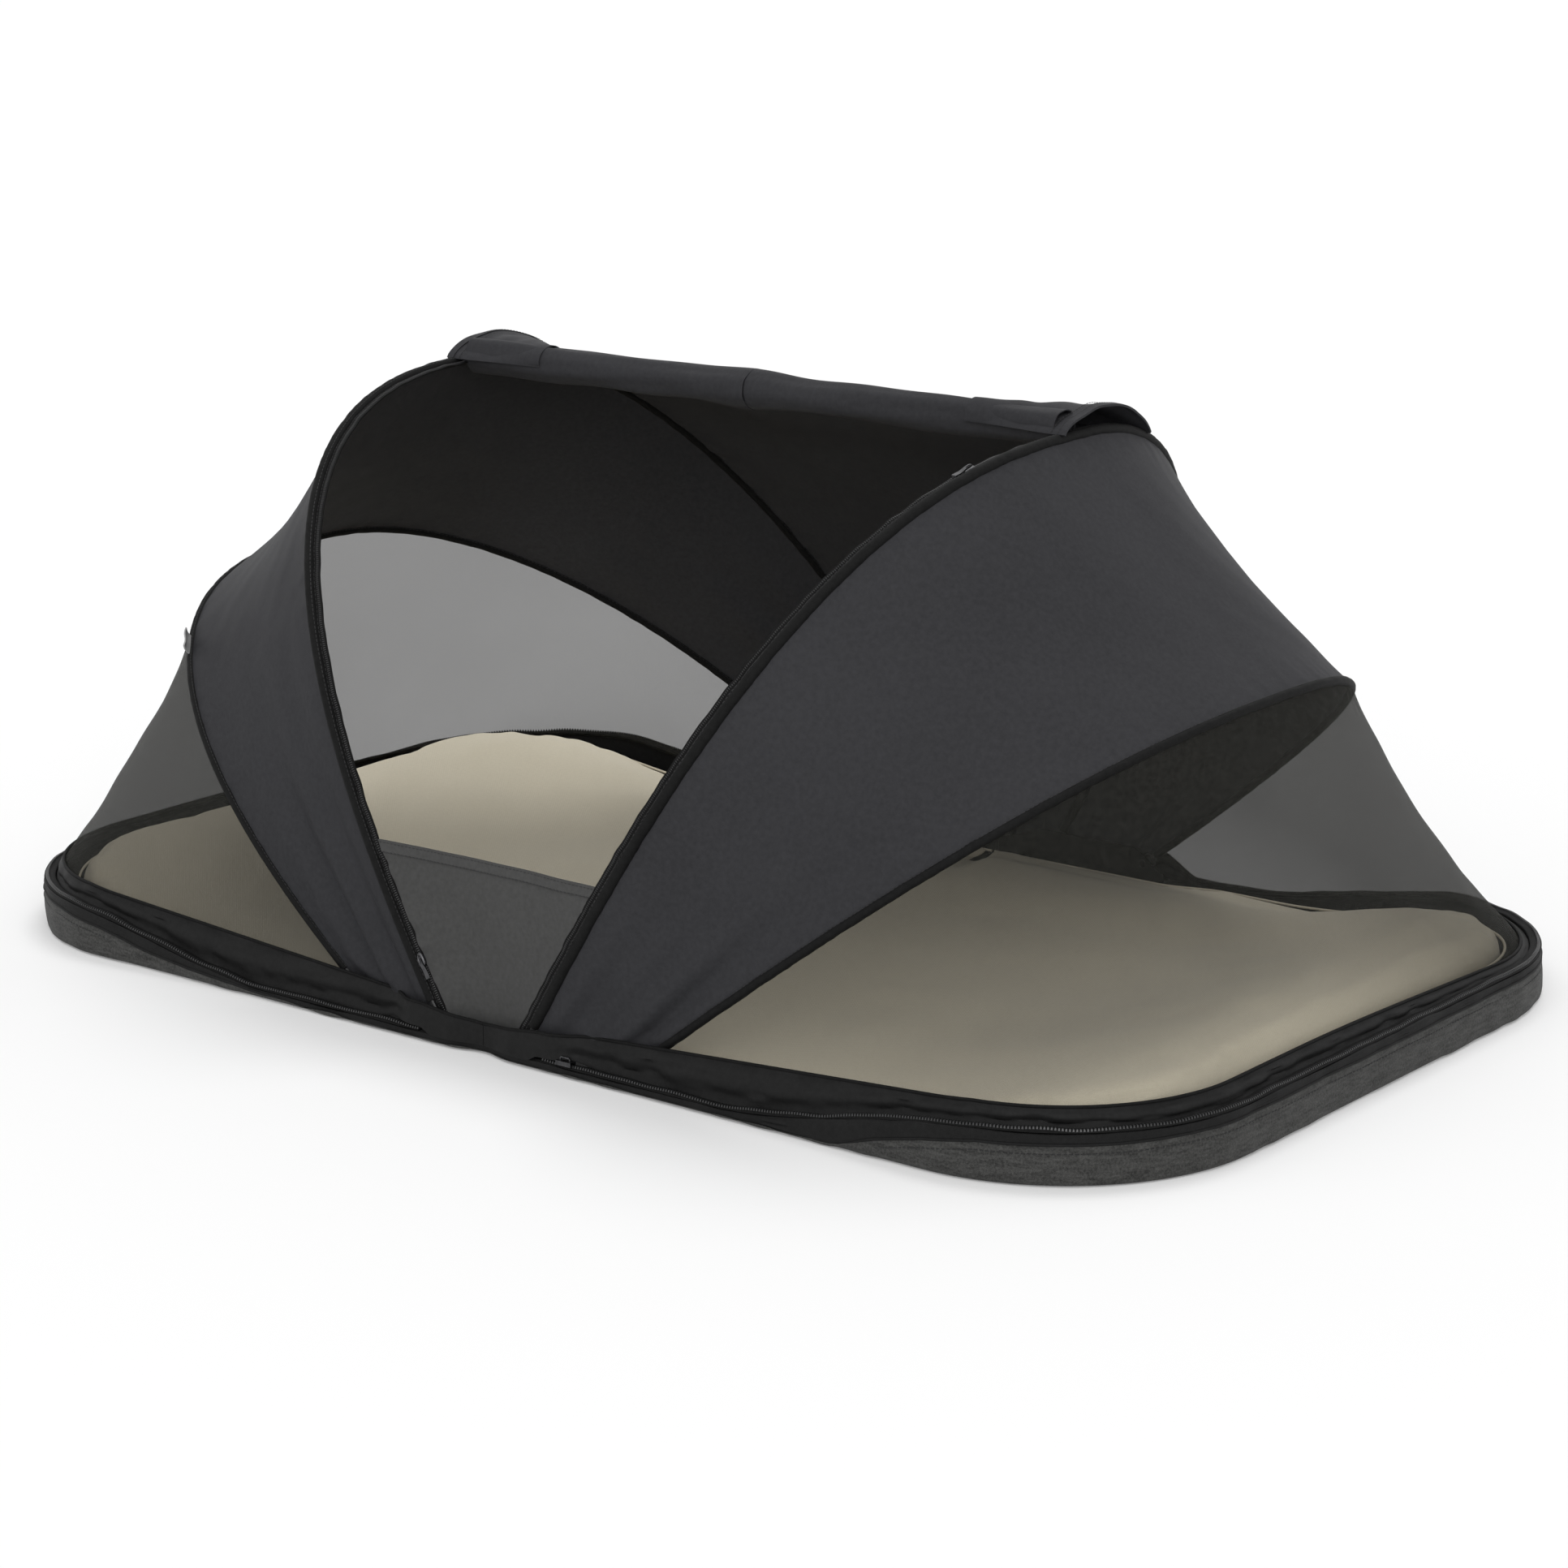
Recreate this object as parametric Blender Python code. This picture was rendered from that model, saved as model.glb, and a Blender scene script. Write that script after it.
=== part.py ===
"""Folding baby travel tent: two hinged half trays, four spring hoops and their fabric.

Metres, +Z up. X runs along the tent, -Y is the door side, and the origin is the
centre of the floor at ground level. Everything is drawn for the right half (+X)
and mirrored for the left one, except the pieces that a half has to itself.
"""
import bpy
import bmesh
from math import cos, sin, tan, pi, radians, hypot
from mathutils import Vector

# Base trays
LENGTH = 1.12
WIDTH = 0.69
CORNER_RADIUS = 0.16
END_WALL_HEIGHT = 0.038
WAIST_WALL_HEIGHT = 0.007
RISE_START = 0.215
RISE_END = 0.45
WALL_THICKNESS = 0.008
WALL_FOOT_INSET = 0.004
WALL_FOOT_RISE = 0.0035
WALL_TOP_ROUND = 0.002
FLOOR_THICKNESS = 0.004
WAIST_GAP = 0.003
GAP = 0.0003
STATION_MARGIN = 0.004

# Floor board and mattress
BOARD_THICKNESS = 0.003
BOARD_INSET = 0.040
BOARD_GAP = 0.001
MATTRESS_EDGE_TOP = 0.0126
MATTRESS_END_RISE = 0.038
MATTRESS_RISE_START = 0.27
MATTRESS_INSET = 0.028
MATTRESS_NOTCH = 0.013
MATTRESS_NOTCH_REACH = 0.02
MATTRESS_NOTCH_FADE = 0.06
MATTRESS_WAIST_CROWN = 0.008
MATTRESS_END_CROWN = 0.003
MATTRESS_CROWN_RUN = 0.40
MATTRESS_STRIPS = 4
MATTRESS_SEAM_DRAW = 0.35
# How far in each ring of the cushion lies, and its share of the thickness there.
MATTRESS_SECTION = ((0.010, 0.0), (0.002, 0.16), (0.0, 0.40), (0.003, 0.66), (0.012, 0.86),
                    (0.030, 0.97), (0.075, 1.0))

# Case zip round the rim
TAPE_INSET = 0.001
TAPE_WIDTH = 0.009
TAPE_THICKNESS = 0.0012
TEETH_INSET = 0.002
TEETH_WIDTH = 0.003
TEETH_HEIGHT = 0.0018
CASE_ZIP_START = 0.06
SLIDER_WALL = 0.0012
SLIDER_LENGTH = 0.014
SLIDER_CLEARANCE = 0.0004
CASE_SLIDER_START = 0.075
BAIL_HEIGHT = 0.003
BAIL_WIDTH = 0.0014
BAIL_THICKNESS = 0.0012
BAIL_SINK = 0.0004
BAIL_SHARE = 0.72

# Fabric band between the rim and the mesh
BAND_START = 0.10
BAND_START_TOP = 0.034
BAND_END_TOP = 0.059
BAND_CLIMB_END = 0.43
BAND_LEAN = 0.006
BAND_THICKNESS = 0.0015

# Hoops: half width, reach up the hoop's own plane, lean from the floor, virtual foot
DOOR_HOOP_INSET = 0.007
DOOR_HOOP_REACH = 0.514
DOOR_HOOP_LEAN = radians(59.4)
DOOR_HOOP_FOOT = 0.0318
DOOR_HOOP_PIVOT_HEIGHT = 0.020
DOOR_HOOP_SQUARENESS = (2.74, 1.98)
DOOR_SLEEVE_RADIUS = 0.0048
END_HOOP_INSET = 0.025
END_HOOP_REACH = 0.450
END_HOOP_LEAN = radians(37.7)
END_HOOP_FOOT = 0.1152
END_HOOP_PIVOT_HEIGHT = 0.024
END_HOOP_SQUARENESS = (2.60, 2.03)
END_SLEEVE_RADIUS = 0.0038
ROD_RADIUS = 0.0025
ROD_SIDES = 6
SLEEVE_BORE = 0.0030
SLEEVE_START = 0.28

# Fold hinge and hoop pivots
FOLD_AXIS_HEIGHT = 0.0245
EYE_RADIUS = 0.006
EYE_WIDTH = 0.006
RIVET_RADIUS = 0.0022
RIVET_CLEARANCE = 0.0003
RIVET_HEAD_RADIUS = 0.0038
RIVET_HEAD_THICKNESS = 0.0014
LUG_THICKNESS = 0.0046
SIDE_PLAY = 0.0004
KNUCKLE_RADIUS = 0.005
KNUCKLE_WIDTH = 0.0044
PLATE_THICKNESS = 0.003
PLATE_START = 0.010
PLATE_MARGIN = 0.012
PLATE_CHAMFER = 0.004
PLATE_EDGE = 0.001
KNUCKLE_ARM = 0.016
LUG_FOOT = 0.010
RIVET_CROWN = 0.75
CUT_OVERRUN = 0.002

# Fabric panels
FABRIC_THICKNESS = 0.0015
MESH_THICKNESS = 0.0015
SEAM_GAP = 0.0005
PANEL_COLUMNS = 6
CANOPY_HOLLOW = 0.005
MESH_SWELL = 0.003
MESH_LEAD = 0.020
ROOF_SAG = 0.012
RIDGE_SETBACK = 0.12
SILL_HEM_HEIGHT = 0.139
SILL_SAG = 0.006
FOLD_DEPTH = 0.0022
# Heights on the tent's middle line that each kind of panel bends towards or away from.
CANOPY_CENTRE = 0.10
MESH_CENTRE = 0.05
ROOF_CENTRE = 0.12

# Door zip and rolled-up door
DOOR_ZIP_WIDTH = 0.010
DOOR_ZIP_THICKNESS = 0.0015
DOOR_SLIDER_WIDTH = 0.0072
DOOR_SLIDER_HEIGHT = 0.0045
DOOR_SLIDER_GAP = 0.0008
DOOR_SLIDER_TAPER = 0.7
# Position along the slider, and its share of the width and height there.
DOOR_SLIDER_SHAPE = ((-1, 0.55, 0.75), (-0.5, 1, 1), (0.4, 1, 1), (1, 0.6, 0.8))
ROLL_TURNS = 2.25
ROLL_CORE_RADIUS = 0.004
ROLL_RADIUS = 0.0125
ROLL_CLOTH = 0.0014
ROLL_FLATTEN = 1.10
ROLL_FORWARD = 0.016
ROLL_SKEW = 0.004
ROLL_FLARE = 0.35
ROLL_RISE = 0.006
ROLL_STATIONS = 6
ROLL_STEPS = 34

# Gusset across the waist, and the blank side tag
GUSSET_HALF_WIDTH = 0.022
GUSSET_THICKNESS = 0.0012
GUSSET_END_INSET = 0.004
TAG_LENGTH = 0.022
TAG_WIDTH = 0.009
TAG_THICKNESS = 0.0012
TAG_STATION = 10
TAG_LIFT = 0.35

HALF_LENGTH = LENGTH / 2
HALF_WIDTH = WIDTH / 2
ENDS = (("front", -1), ("back", 1))


# Materials

def material(name, colour, roughness, metallic=0.0):
    found = bpy.data.materials.get(name)
    if found:
        return found
    made = bpy.data.materials.new(name)
    made.use_nodes = True
    shader = made.node_tree.nodes["Principled BSDF"]
    shader.inputs["Base Color"].default_value = (*colour, 1.0)
    shader.inputs["Roughness"].default_value = roughness
    shader.inputs["Metallic"].default_value = metallic
    return made


def palette():
    return {
        "heather": material("heather_base_fabric", (0.040, 0.040, 0.038), 0.9),
        "board": material("floor_board", (0.03, 0.03, 0.03), 0.8),
        "mattress": material("mattress_cover", (0.52, 0.46, 0.36), 0.85),
        "tape": material("zip_tape", (0.008, 0.008, 0.008), 0.8),
        "teeth": material("zip_teeth", (0.012, 0.012, 0.012), 0.4),
        "band": material("black_band_fabric", (0.01, 0.01, 0.01), 0.7),
        "canopy": material("canopy_fabric", (0.035, 0.037, 0.042), 0.6),
        "sill": material("sill_fabric", (0.065, 0.066, 0.068), 0.7),
        "mesh": material("mosquito_mesh", (0.03, 0.03, 0.028), 0.8),
        "rod": material("fibreglass_rod", (0.03, 0.03, 0.03), 0.4),
        "sleeve": material("sleeve_fabric", (0.008, 0.008, 0.008), 0.75),
        "plastic": material("bracket_plastic", (0.015, 0.015, 0.015), 0.45),
        "steel": material("rivet_steel", (0.45, 0.45, 0.46), 0.3, 1.0),
        "slider": material("slider_metal", (0.05, 0.05, 0.05), 0.35, 1.0),
        "tag": material("tag_ribbon", (0.10, 0.10, 0.10), 0.7),
    }


# Mesh helpers

def mirrored(verts, side):
    return [Vector((v[0] * side, v[1], v[2])) for v in verts]


def add_object(name, verts, faces, mat, pivot=None, smooth=40.0):
    """One object from world-space vertices, its origin on the empty it hangs from."""
    mesh = bpy.data.meshes.new(name)
    mesh.from_pydata([tuple(v) for v in verts], [], faces)
    bm = bmesh.new()
    bm.from_mesh(mesh)
    bmesh.ops.recalc_face_normals(bm, faces=bm.faces)
    bm.to_mesh(mesh)
    bm.free()
    mesh.materials.append(mat)
    mesh.shade_smooth()
    mesh.set_sharp_from_angle(angle=radians(smooth))
    obj = bpy.data.objects.new(name, mesh)
    bpy.context.scene.collection.objects.link(obj)
    if pivot:
        hang(obj, pivot)
    return obj


def hang(obj, pivot):
    obj.parent = pivot
    obj.location = -pivot_place(pivot)


def pivot_place(empty):
    place = empty.location.copy()
    while empty.parent:
        empty = empty.parent
        place = place + empty.location
    return place


def add_pivot(name, place, parent=None):
    empty = bpy.data.objects.new(name, None)
    empty.empty_display_size = 0.03
    bpy.context.scene.collection.objects.link(empty)
    if parent:
        empty.parent = parent
        empty.location = Vector(place) - pivot_place(parent)
    else:
        empty.location = place
    return empty


def combine(obj, others, operation):
    """Apply one boolean per helper object and delete the helpers."""
    for other in others:
        cut = obj.modifiers.new("shape", "BOOLEAN")
        cut.operation = operation
        cut.solver = "EXACT"
        cut.object = other
    bpy.context.view_layer.update()
    graph = bpy.context.evaluated_depsgraph_get()
    made = bpy.data.meshes.new_from_object(obj.evaluated_get(graph))
    old = obj.data
    obj.modifiers.clear()
    obj.data = made
    made.name = old.name
    bpy.data.meshes.remove(old)
    for other in others:
        bpy.data.objects.remove(other)
    return obj


def loft(sections, closed_ring=True, caps=True):
    """Faces through equal rings of points; returns vertices and faces."""
    count = len(sections[0])
    verts = [point for ring in sections for point in ring]
    faces = []
    steps = count if closed_ring else count - 1
    for row in range(len(sections) - 1):
        for k in range(steps):
            a = row * count + k
            b = row * count + (k + 1) % count
            faces.append((a, b, b + count, a + count))
    if caps:
        faces.append(tuple(range(count)))
        last = (len(sections) - 1) * count
        faces.append(tuple(range(last, last + count)))
    return verts, faces


def prism_y(profile, y0, y1):
    """A flat X-Z outline extruded along Y."""
    return loft([[Vector((x, y, z)) for x, z in profile] for y in (y0, y1)])


def arc(cx, cz, radius, start, end, steps):
    points = []
    for k in range(steps + 1):
        angle = radians(start + (end - start) * k / steps)
        points.append((cx + radius * cos(angle), cz + radius * sin(angle)))
    return points


def disc_y(cx, cz, radius, y0, y1, sides=20):
    return prism_y(arc(cx, cz, radius, 0, 360 * (sides - 1) / sides, sides - 1), y0, y1)


def frames(points, normal):
    """Tangent, in-plane side and plane normal at each point of a planar curve."""
    out = []
    for k, point in enumerate(points):
        before = points[max(k - 1, 0)]
        after = points[min(k + 1, len(points) - 1)]
        tangent = (after - before).normalized()
        out.append((point, tangent, normal.cross(tangent).normalized()))
    return out


def tube_rings(points, normal, radius, sides):
    rings = []
    for point, tangent, side in frames(points, normal):
        ring = []
        for k in range(sides):
            angle = 2 * pi * (k + 0.5) / sides
            ring.append(point + side * radius * cos(angle) + normal * radius * sin(angle))
        rings.append(ring)
    return rings


def pipe(points, normal, outer, inner, sides):
    """A hollow tube along a planar curve, open at both ends."""
    outside, faces = loft(tube_rings(points, normal, outer, sides), caps=False)
    inside, back = loft(tube_rings(points, normal, inner, sides), caps=False)
    shift = len(outside)
    faces += [tuple(reversed([k + shift for k in face])) for face in back]
    last = (len(points) - 1) * sides
    for k in range(sides):
        nxt = (k + 1) % sides
        faces.append((nxt, k, k + shift, nxt + shift))
        faces.append((last + k, last + nxt, last + nxt + shift, last + k + shift))
    return outside + inside, faces


def grid_normals(grid):
    rows, cols = len(grid), len(grid[0])
    out = []
    for i in range(rows):
        line = []
        for j in range(cols):
            along = grid[min(i + 1, rows - 1)][j] - grid[max(i - 1, 0)][j]
            across = grid[i][min(j + 1, cols - 1)] - grid[i][max(j - 1, 0)]
            line.append(along.cross(across).normalized())
        out.append(line)
    return out


def cloth(grid, thickness):
    """A closed sheet of even thickness round a grid of points."""
    rows, cols = len(grid), len(grid[0])
    normals = grid_normals(grid)
    verts = []
    for half in (0.5, -0.5):
        for i in range(rows):
            for j in range(cols):
                verts.append(grid[i][j] + normals[i][j] * thickness * half)
    under = rows * cols
    faces = []
    for i in range(rows - 1):
        for j in range(cols - 1):
            a = i * cols + j
            quad = (a, a + 1, a + cols + 1, a + cols)
            faces.append(quad)
            faces.append(tuple(under + k for k in reversed(quad)))
    edge = [j for j in range(cols)]
    edge += [i * cols + cols - 1 for i in range(1, rows)]
    edge += [(rows - 1) * cols + j for j in range(cols - 2, -1, -1)]
    edge += [i * cols for i in range(rows - 2, 0, -1)]
    for k, a in enumerate(edge):
        b = edge[(k + 1) % len(edge)]
        faces.append((a, a + under, b + under, b))
    return verts, faces


# Outline of a half tray

def smooth_step(value):
    value = min(max(value, 0.0), 1.0)
    return value * value * (3 - 2 * value)


def rim_height(x):
    """The wall is low and level beside the waist and climbs towards the end."""
    climb = smooth_step((abs(x) - RISE_START) / (RISE_END - RISE_START))
    return WAIST_WALL_HEIGHT + (END_WALL_HEIGHT - WAIST_WALL_HEIGHT) * climb


def band_top(x):
    share = (abs(x) - BAND_START) / (BAND_CLIMB_END - BAND_START)
    return BAND_START_TOP + (BAND_END_TOP - BAND_START_TOP) * min(max(share, 0.0), 1.0)


def half_outline(inset, x_start, straight=9, corner=10, end=4, notch=0.0):
    """Plan points from the front waist round the end to the back waist."""
    radius = CORNER_RADIUS - inset
    corner_x = HALF_LENGTH - CORNER_RADIUS
    corner_y = HALF_WIDTH - CORNER_RADIUS
    front = []
    # The stations are the same for every start, so that stacked pieces bend together.
    stations = [corner_x * k / straight for k in range(1, straight)]
    for x in [x_start] + [x for x in stations if x > x_start + STATION_MARGIN]:
        past = x - end_pivot()[0] - MATTRESS_NOTCH_REACH
        narrow = notch * (1 - smooth_step(past / MATTRESS_NOTCH_FADE))
        front.append((x, -(HALF_WIDTH - inset - narrow)))
    for k in range(corner + 1):
        angle = -pi / 2 + pi / 2 * k / corner
        front.append((corner_x + radius * cos(angle), -corner_y + radius * sin(angle)))
    for k in range(1, end):
        y = -corner_y + corner_y * k / end
        front.append((HALF_LENGTH - inset, y))
    back = [(x, -y) for x, y in reversed(front)]
    return front + [(HALF_LENGTH - inset, 0.0)] + back


def rim_sweep(profile, x_start, height=None):
    """A profile of (inset, lift above the rim) carried round the rim.

    With a height function the lift is a share of the way from the rim to that height.
    """
    paths = [half_outline(inset, x_start) for inset, _ in profile]
    sections = []
    for k, (edge_x, _) in enumerate(half_outline(0.0, x_start)):
        low = rim_height(edge_x)
        ring = []
        for path, (_, lift) in zip(paths, profile):
            if height:
                lift = GAP + lift * (height(edge_x) - low - GAP)
            ring.append(Vector((*path[k], low + lift)))
        sections.append(ring)
    return loft(sections)


# Hoops

def door_pivot():
    x = DOOR_HOOP_FOOT + DOOR_HOOP_PIVOT_HEIGHT / tan(DOOR_HOOP_LEAN)
    return x, DOOR_HOOP_PIVOT_HEIGHT


def end_pivot():
    x = END_HOOP_FOOT + END_HOOP_PIVOT_HEIGHT / tan(END_HOOP_LEAN)
    return x, END_HOOP_PIVOT_HEIGHT


DOOR = {
    "half_width": HALF_WIDTH - DOOR_HOOP_INSET,
    "reach": DOOR_HOOP_REACH,
    "lean": DOOR_HOOP_LEAN,
    "foot": DOOR_HOOP_FOOT,
    "squareness": DOOR_HOOP_SQUARENESS,
    "sleeve": DOOR_SLEEVE_RADIUS,
    "pivot": door_pivot(),
    "steps": 16,
    "fabric_from": 0.35,
}
END = {
    "half_width": HALF_WIDTH - END_HOOP_INSET,
    "reach": END_HOOP_REACH,
    "lean": END_HOOP_LEAN,
    "foot": END_HOOP_FOOT,
    "squareness": END_HOOP_SQUARENESS,
    "sleeve": END_SLEEVE_RADIUS,
    "pivot": end_pivot(),
    "steps": 17,
    "fabric_from": 1.5,
}


def hoop_half(hoop, end):
    """Even steps up one leg, from its pivot to the top of the hoop."""
    steps = hoop["steps"]
    power = hoop["squareness"][0 if end < 0 else 1]
    start_rho = hoop["pivot"][1] / sin(hoop["lean"])
    dense = []
    for k in range(401):
        turn = pi / 2 * k / 400
        rho = hoop["reach"] * sin(turn) ** (2 / power)
        y = end * hoop["half_width"] * cos(turn) ** (2 / power)
        dense.append((rho, y))
    start_y = end * hoop["half_width"]
    start_y *= (1 - (start_rho / hoop["reach"]) ** power) ** (1 / power)
    line = [(start_rho, start_y)] + [p for p in dense if p[0] > start_rho + 1e-6]
    line[-1] = (hoop["reach"], 0.0)
    lengths = [0.0]
    for a, b in zip(line, line[1:]):
        lengths.append(lengths[-1] + hypot(b[0] - a[0], b[1] - a[1]))
    points = []
    spot = 0
    for k in range(steps + 1):
        target = lengths[-1] * k / steps
        while spot < len(lengths) - 2 and lengths[spot + 1] < target:
            spot += 1
        share = (target - lengths[spot]) / (lengths[spot + 1] - lengths[spot])
        rho = line[spot][0] + (line[spot + 1][0] - line[spot][0]) * share
        y = line[spot][1] + (line[spot + 1][1] - line[spot][1]) * share
        points.append(hoop_point(hoop, rho, y))
    return points


def hoop_point(hoop, rho, y):
    x = hoop["foot"] + rho * cos(hoop["lean"])
    return Vector((x, y, rho * sin(hoop["lean"])))


def leg_width(hoop, end):
    """How far out a leg stands at its pivot."""
    return abs(hoop_half(hoop, end)[0].y)


def hoop_curve(hoop):
    return hoop_half(hoop, -1) + list(reversed(hoop_half(hoop, 1)))[1:]


def fabric_leg(hoop, end):
    """The stretch of a leg that its panels are sewn along, from low down to the top."""
    leg = hoop_half(hoop, end)
    whole = int(hoop["fabric_from"])
    start = lerp(leg[whole], leg[whole + 1], hoop["fabric_from"] - whole)
    return [start] + leg[whole + 1:]


def fabric_curve(hoop):
    return fabric_leg(hoop, -1) + list(reversed(fabric_leg(hoop, 1)))[1:]


def hoop_normal(hoop):
    return Vector((-sin(hoop["lean"]), 0, cos(hoop["lean"])))


def away_from_hoop(points, index, hoop, towards):
    """Unit vector square to the hoop at a point, in the direction given."""
    point, tangent, _ = frames(points, hoop_normal(hoop))[index]
    square = towards - tangent * towards.dot(tangent)
    return square.normalized()


def add_hoop(name, hoop, side, mats, pivot):
    line = hoop_curve(hoop)
    verts, faces = loft(tube_rings(line, hoop_normal(hoop), ROD_RADIUS, ROD_SIDES))
    rod = add_object(name, mirrored(verts, side), faces, mats["rod"])
    px, pz = hoop["pivot"]
    eyes = []
    bores = []
    for _, end in ENDS:
        middle = end * leg_width(hoop, end)
        verts, faces = disc_y(px, pz, EYE_RADIUS, middle - EYE_WIDTH / 2, middle + EYE_WIDTH / 2)
        eyes.append(add_object("eye", mirrored(verts, side), faces, mats["rod"]))
        bore = RIVET_RADIUS + RIVET_CLEARANCE
        verts, faces = disc_y(px, pz, bore, middle - EYE_WIDTH, middle + EYE_WIDTH)
        bores.append(add_object("bore", mirrored(verts, side), faces, mats["rod"]))
    combine(rod, eyes, "UNION")
    combine(rod, bores, "DIFFERENCE")
    hang(rod, pivot)

    line[0] = lerp(line[0], line[1], SLEEVE_START)
    line[-1] = lerp(line[-1], line[-2], SLEEVE_START)
    verts, faces = pipe(line, hoop_normal(hoop), hoop["sleeve"], SLEEVE_BORE, ROD_SIDES)
    add_object(name + "_sleeve", mirrored(verts, side), faces, mats["sleeve"], pivot, 60)


# Base

def add_tray(name, side, mats, pivot):
    """A wall round three sides, its foot rounded in, fused to the floor."""
    x0 = WAIST_GAP / 2
    outer = half_outline(0.0, x0)
    foot = half_outline(WALL_FOOT_INSET, x0)
    inner = half_outline(WALL_THICKNESS, x0)
    lip = half_outline(WALL_THICKNESS - WALL_TOP_ROUND, x0)
    crown = half_outline(WALL_TOP_ROUND, x0)
    rings = []
    for k in range(len(outer)):
        x, y = outer[k]
        high = rim_height(x)
        rings.append([
            Vector((foot[k][0], foot[k][1], 0.0)),
            Vector((x, y, WALL_FOOT_RISE)),
            Vector((x, y, high - WALL_TOP_ROUND)),
            Vector((crown[k][0], crown[k][1], high)),
            Vector((lip[k][0], lip[k][1], high)),
            Vector((inner[k][0], inner[k][1], high - WALL_TOP_ROUND)),
            Vector((inner[k][0], inner[k][1], FLOOR_THICKNESS)),
        ])
    for ring in (rings[0], rings[-1]):
        for point in ring:
            point.x = x0
    count = len(rings[0])
    verts, faces = loft(rings, closed_ring=False, caps=False)
    rows = len(rings)
    faces.append(tuple(k * count for k in range(rows)))
    faces.append(tuple(k * count + count - 1 for k in range(rows)))
    last = (rows - 1) * count
    faces.append(tuple(range(count)) + tuple(range(last + count - 1, last - 1, -1)))
    add_object(name, mirrored(verts, side), faces, mats["heather"], pivot, 50)


def add_board(name, side, mats, pivot):
    low = FLOOR_THICKNESS + GAP
    outline = half_outline(BOARD_INSET, GUSSET_HALF_WIDTH + BOARD_GAP, 4, 6, 2)
    levels = (low, low + BOARD_THICKNESS)
    verts, faces = loft([[Vector((x, y, z)) for x, y in outline] for z in levels])
    add_object(name, mirrored(verts, side), faces, mats["board"], pivot)


def mattress_edge(x):
    """Height of the cushion's top edge, low along the sides and raised at the tent's end."""
    climb = smooth_step((x - MATTRESS_RISE_START) / (HALF_LENGTH - MATTRESS_RISE_START))
    return MATTRESS_EDGE_TOP + MATTRESS_END_RISE * climb


def mattress_crown(x):
    fade = smooth_step(x / MATTRESS_CROWN_RUN)
    return lerp(MATTRESS_WAIST_CROWN, MATTRESS_END_CROWN, fade)


def add_mattress(name, side, mats, pivot):
    """Cushion with drawn-in sides that follow the rim, and a crown along its middle."""
    low = FLOOR_THICKNESS + BOARD_THICKNESS + 2 * GAP
    sections = []
    for inset, share in MATTRESS_SECTION:
        start = WAIST_GAP + inset * MATTRESS_SEAM_DRAW
        plan = half_outline(MATTRESS_INSET + inset, start, 7, 7, 3, MATTRESS_NOTCH)
        ring = []
        for x, y in plan:
            ring.append(Vector((x, y, lerp(low, mattress_edge(x), share))))
        sections.append(ring)
    verts, faces = loft(sections, caps=False)
    count = len(sections[0])
    faces.append(tuple(range(count)))
    tip = (count - 1) // 2
    last = (len(sections) - 1) * count
    # The top runs in strips from the front edge to the back edge, up to the tip of the ring.
    rows = []
    for k in range(tip):
        a, b = verts[last + k], verts[last + count - 1 - k]
        row = [last + k]
        for j in range(1, MATTRESS_STRIPS):
            v = j / MATTRESS_STRIPS
            point = lerp(a, b, v)
            point.z += 4 * v * (1 - v) * mattress_crown(point.x)
            row.append(len(verts))
            verts.append(point)
        rows.append(row + [last + count - 1 - k])
    for row, after in zip(rows, rows[1:]):
        for j in range(MATTRESS_STRIPS):
            faces.append((row[j], row[j + 1], after[j + 1], after[j]))
    for j in range(MATTRESS_STRIPS):
        faces.append((rows[-1][j], rows[-1][j + 1], last + tip))
    faces.append(tuple(rows[0]))
    add_object(name, mirrored(verts, side), faces, mats["mattress"], pivot, 60)


def add_rim_trim(half, side, mats, pivot):
    tape_top = GAP + TAPE_THICKNESS
    tape_end = TAPE_INSET + TAPE_WIDTH
    profile = ((TAPE_INSET, GAP), (TAPE_INSET, tape_top), (tape_end, tape_top), (tape_end, GAP))
    verts, faces = rim_sweep(profile, CASE_ZIP_START)
    add_object(half + "_case_zip_tape", mirrored(verts, side), faces, mats["tape"], pivot)

    low = tape_top + GAP
    high = low + TEETH_HEIGHT
    bevel = TEETH_WIDTH / 4
    far = TEETH_INSET + TEETH_WIDTH
    profile = ((TEETH_INSET, low), (TEETH_INSET, high - bevel), (TEETH_INSET + bevel, high),
               (far - bevel, high), (far, high - bevel), (far, low))
    verts, faces = rim_sweep(profile, CASE_ZIP_START)
    add_object(half + "_case_zip_teeth", mirrored(verts, side), faces, mats["teeth"], pivot)

    near = tape_end + SEAM_GAP
    lean = BAND_LEAN
    profile = ((near, 0.0), (near + lean / 2, 0.5), (near + lean, 1.0))
    profile += tuple((i + BAND_THICKNESS, share) for i, share in reversed(profile))
    verts, faces = rim_sweep(profile, BAND_START, band_top)
    add_object(half + "_rim_band", mirrored(verts, side), faces, mats["band"], pivot)


def case_slider_profile():
    """An inverted channel over the teeth, with a small bail on top, as (inset, lift)."""
    low = GAP + TAPE_THICKNESS + GAP
    roof = low + TEETH_HEIGHT + SLIDER_CLEARANCE
    top = roof + SLIDER_WALL
    inner0 = TEETH_INSET - SLIDER_CLEARANCE
    inner1 = TEETH_INSET + TEETH_WIDTH + SLIDER_CLEARANCE
    outer0 = inner0 - SLIDER_WALL
    outer1 = inner1 + SLIDER_WALL
    return ((outer0, low), (outer0, top), (outer1, top), (outer1, low), (inner1, low),
            (inner1, roof), (inner0, roof), (inner0, low))


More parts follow.
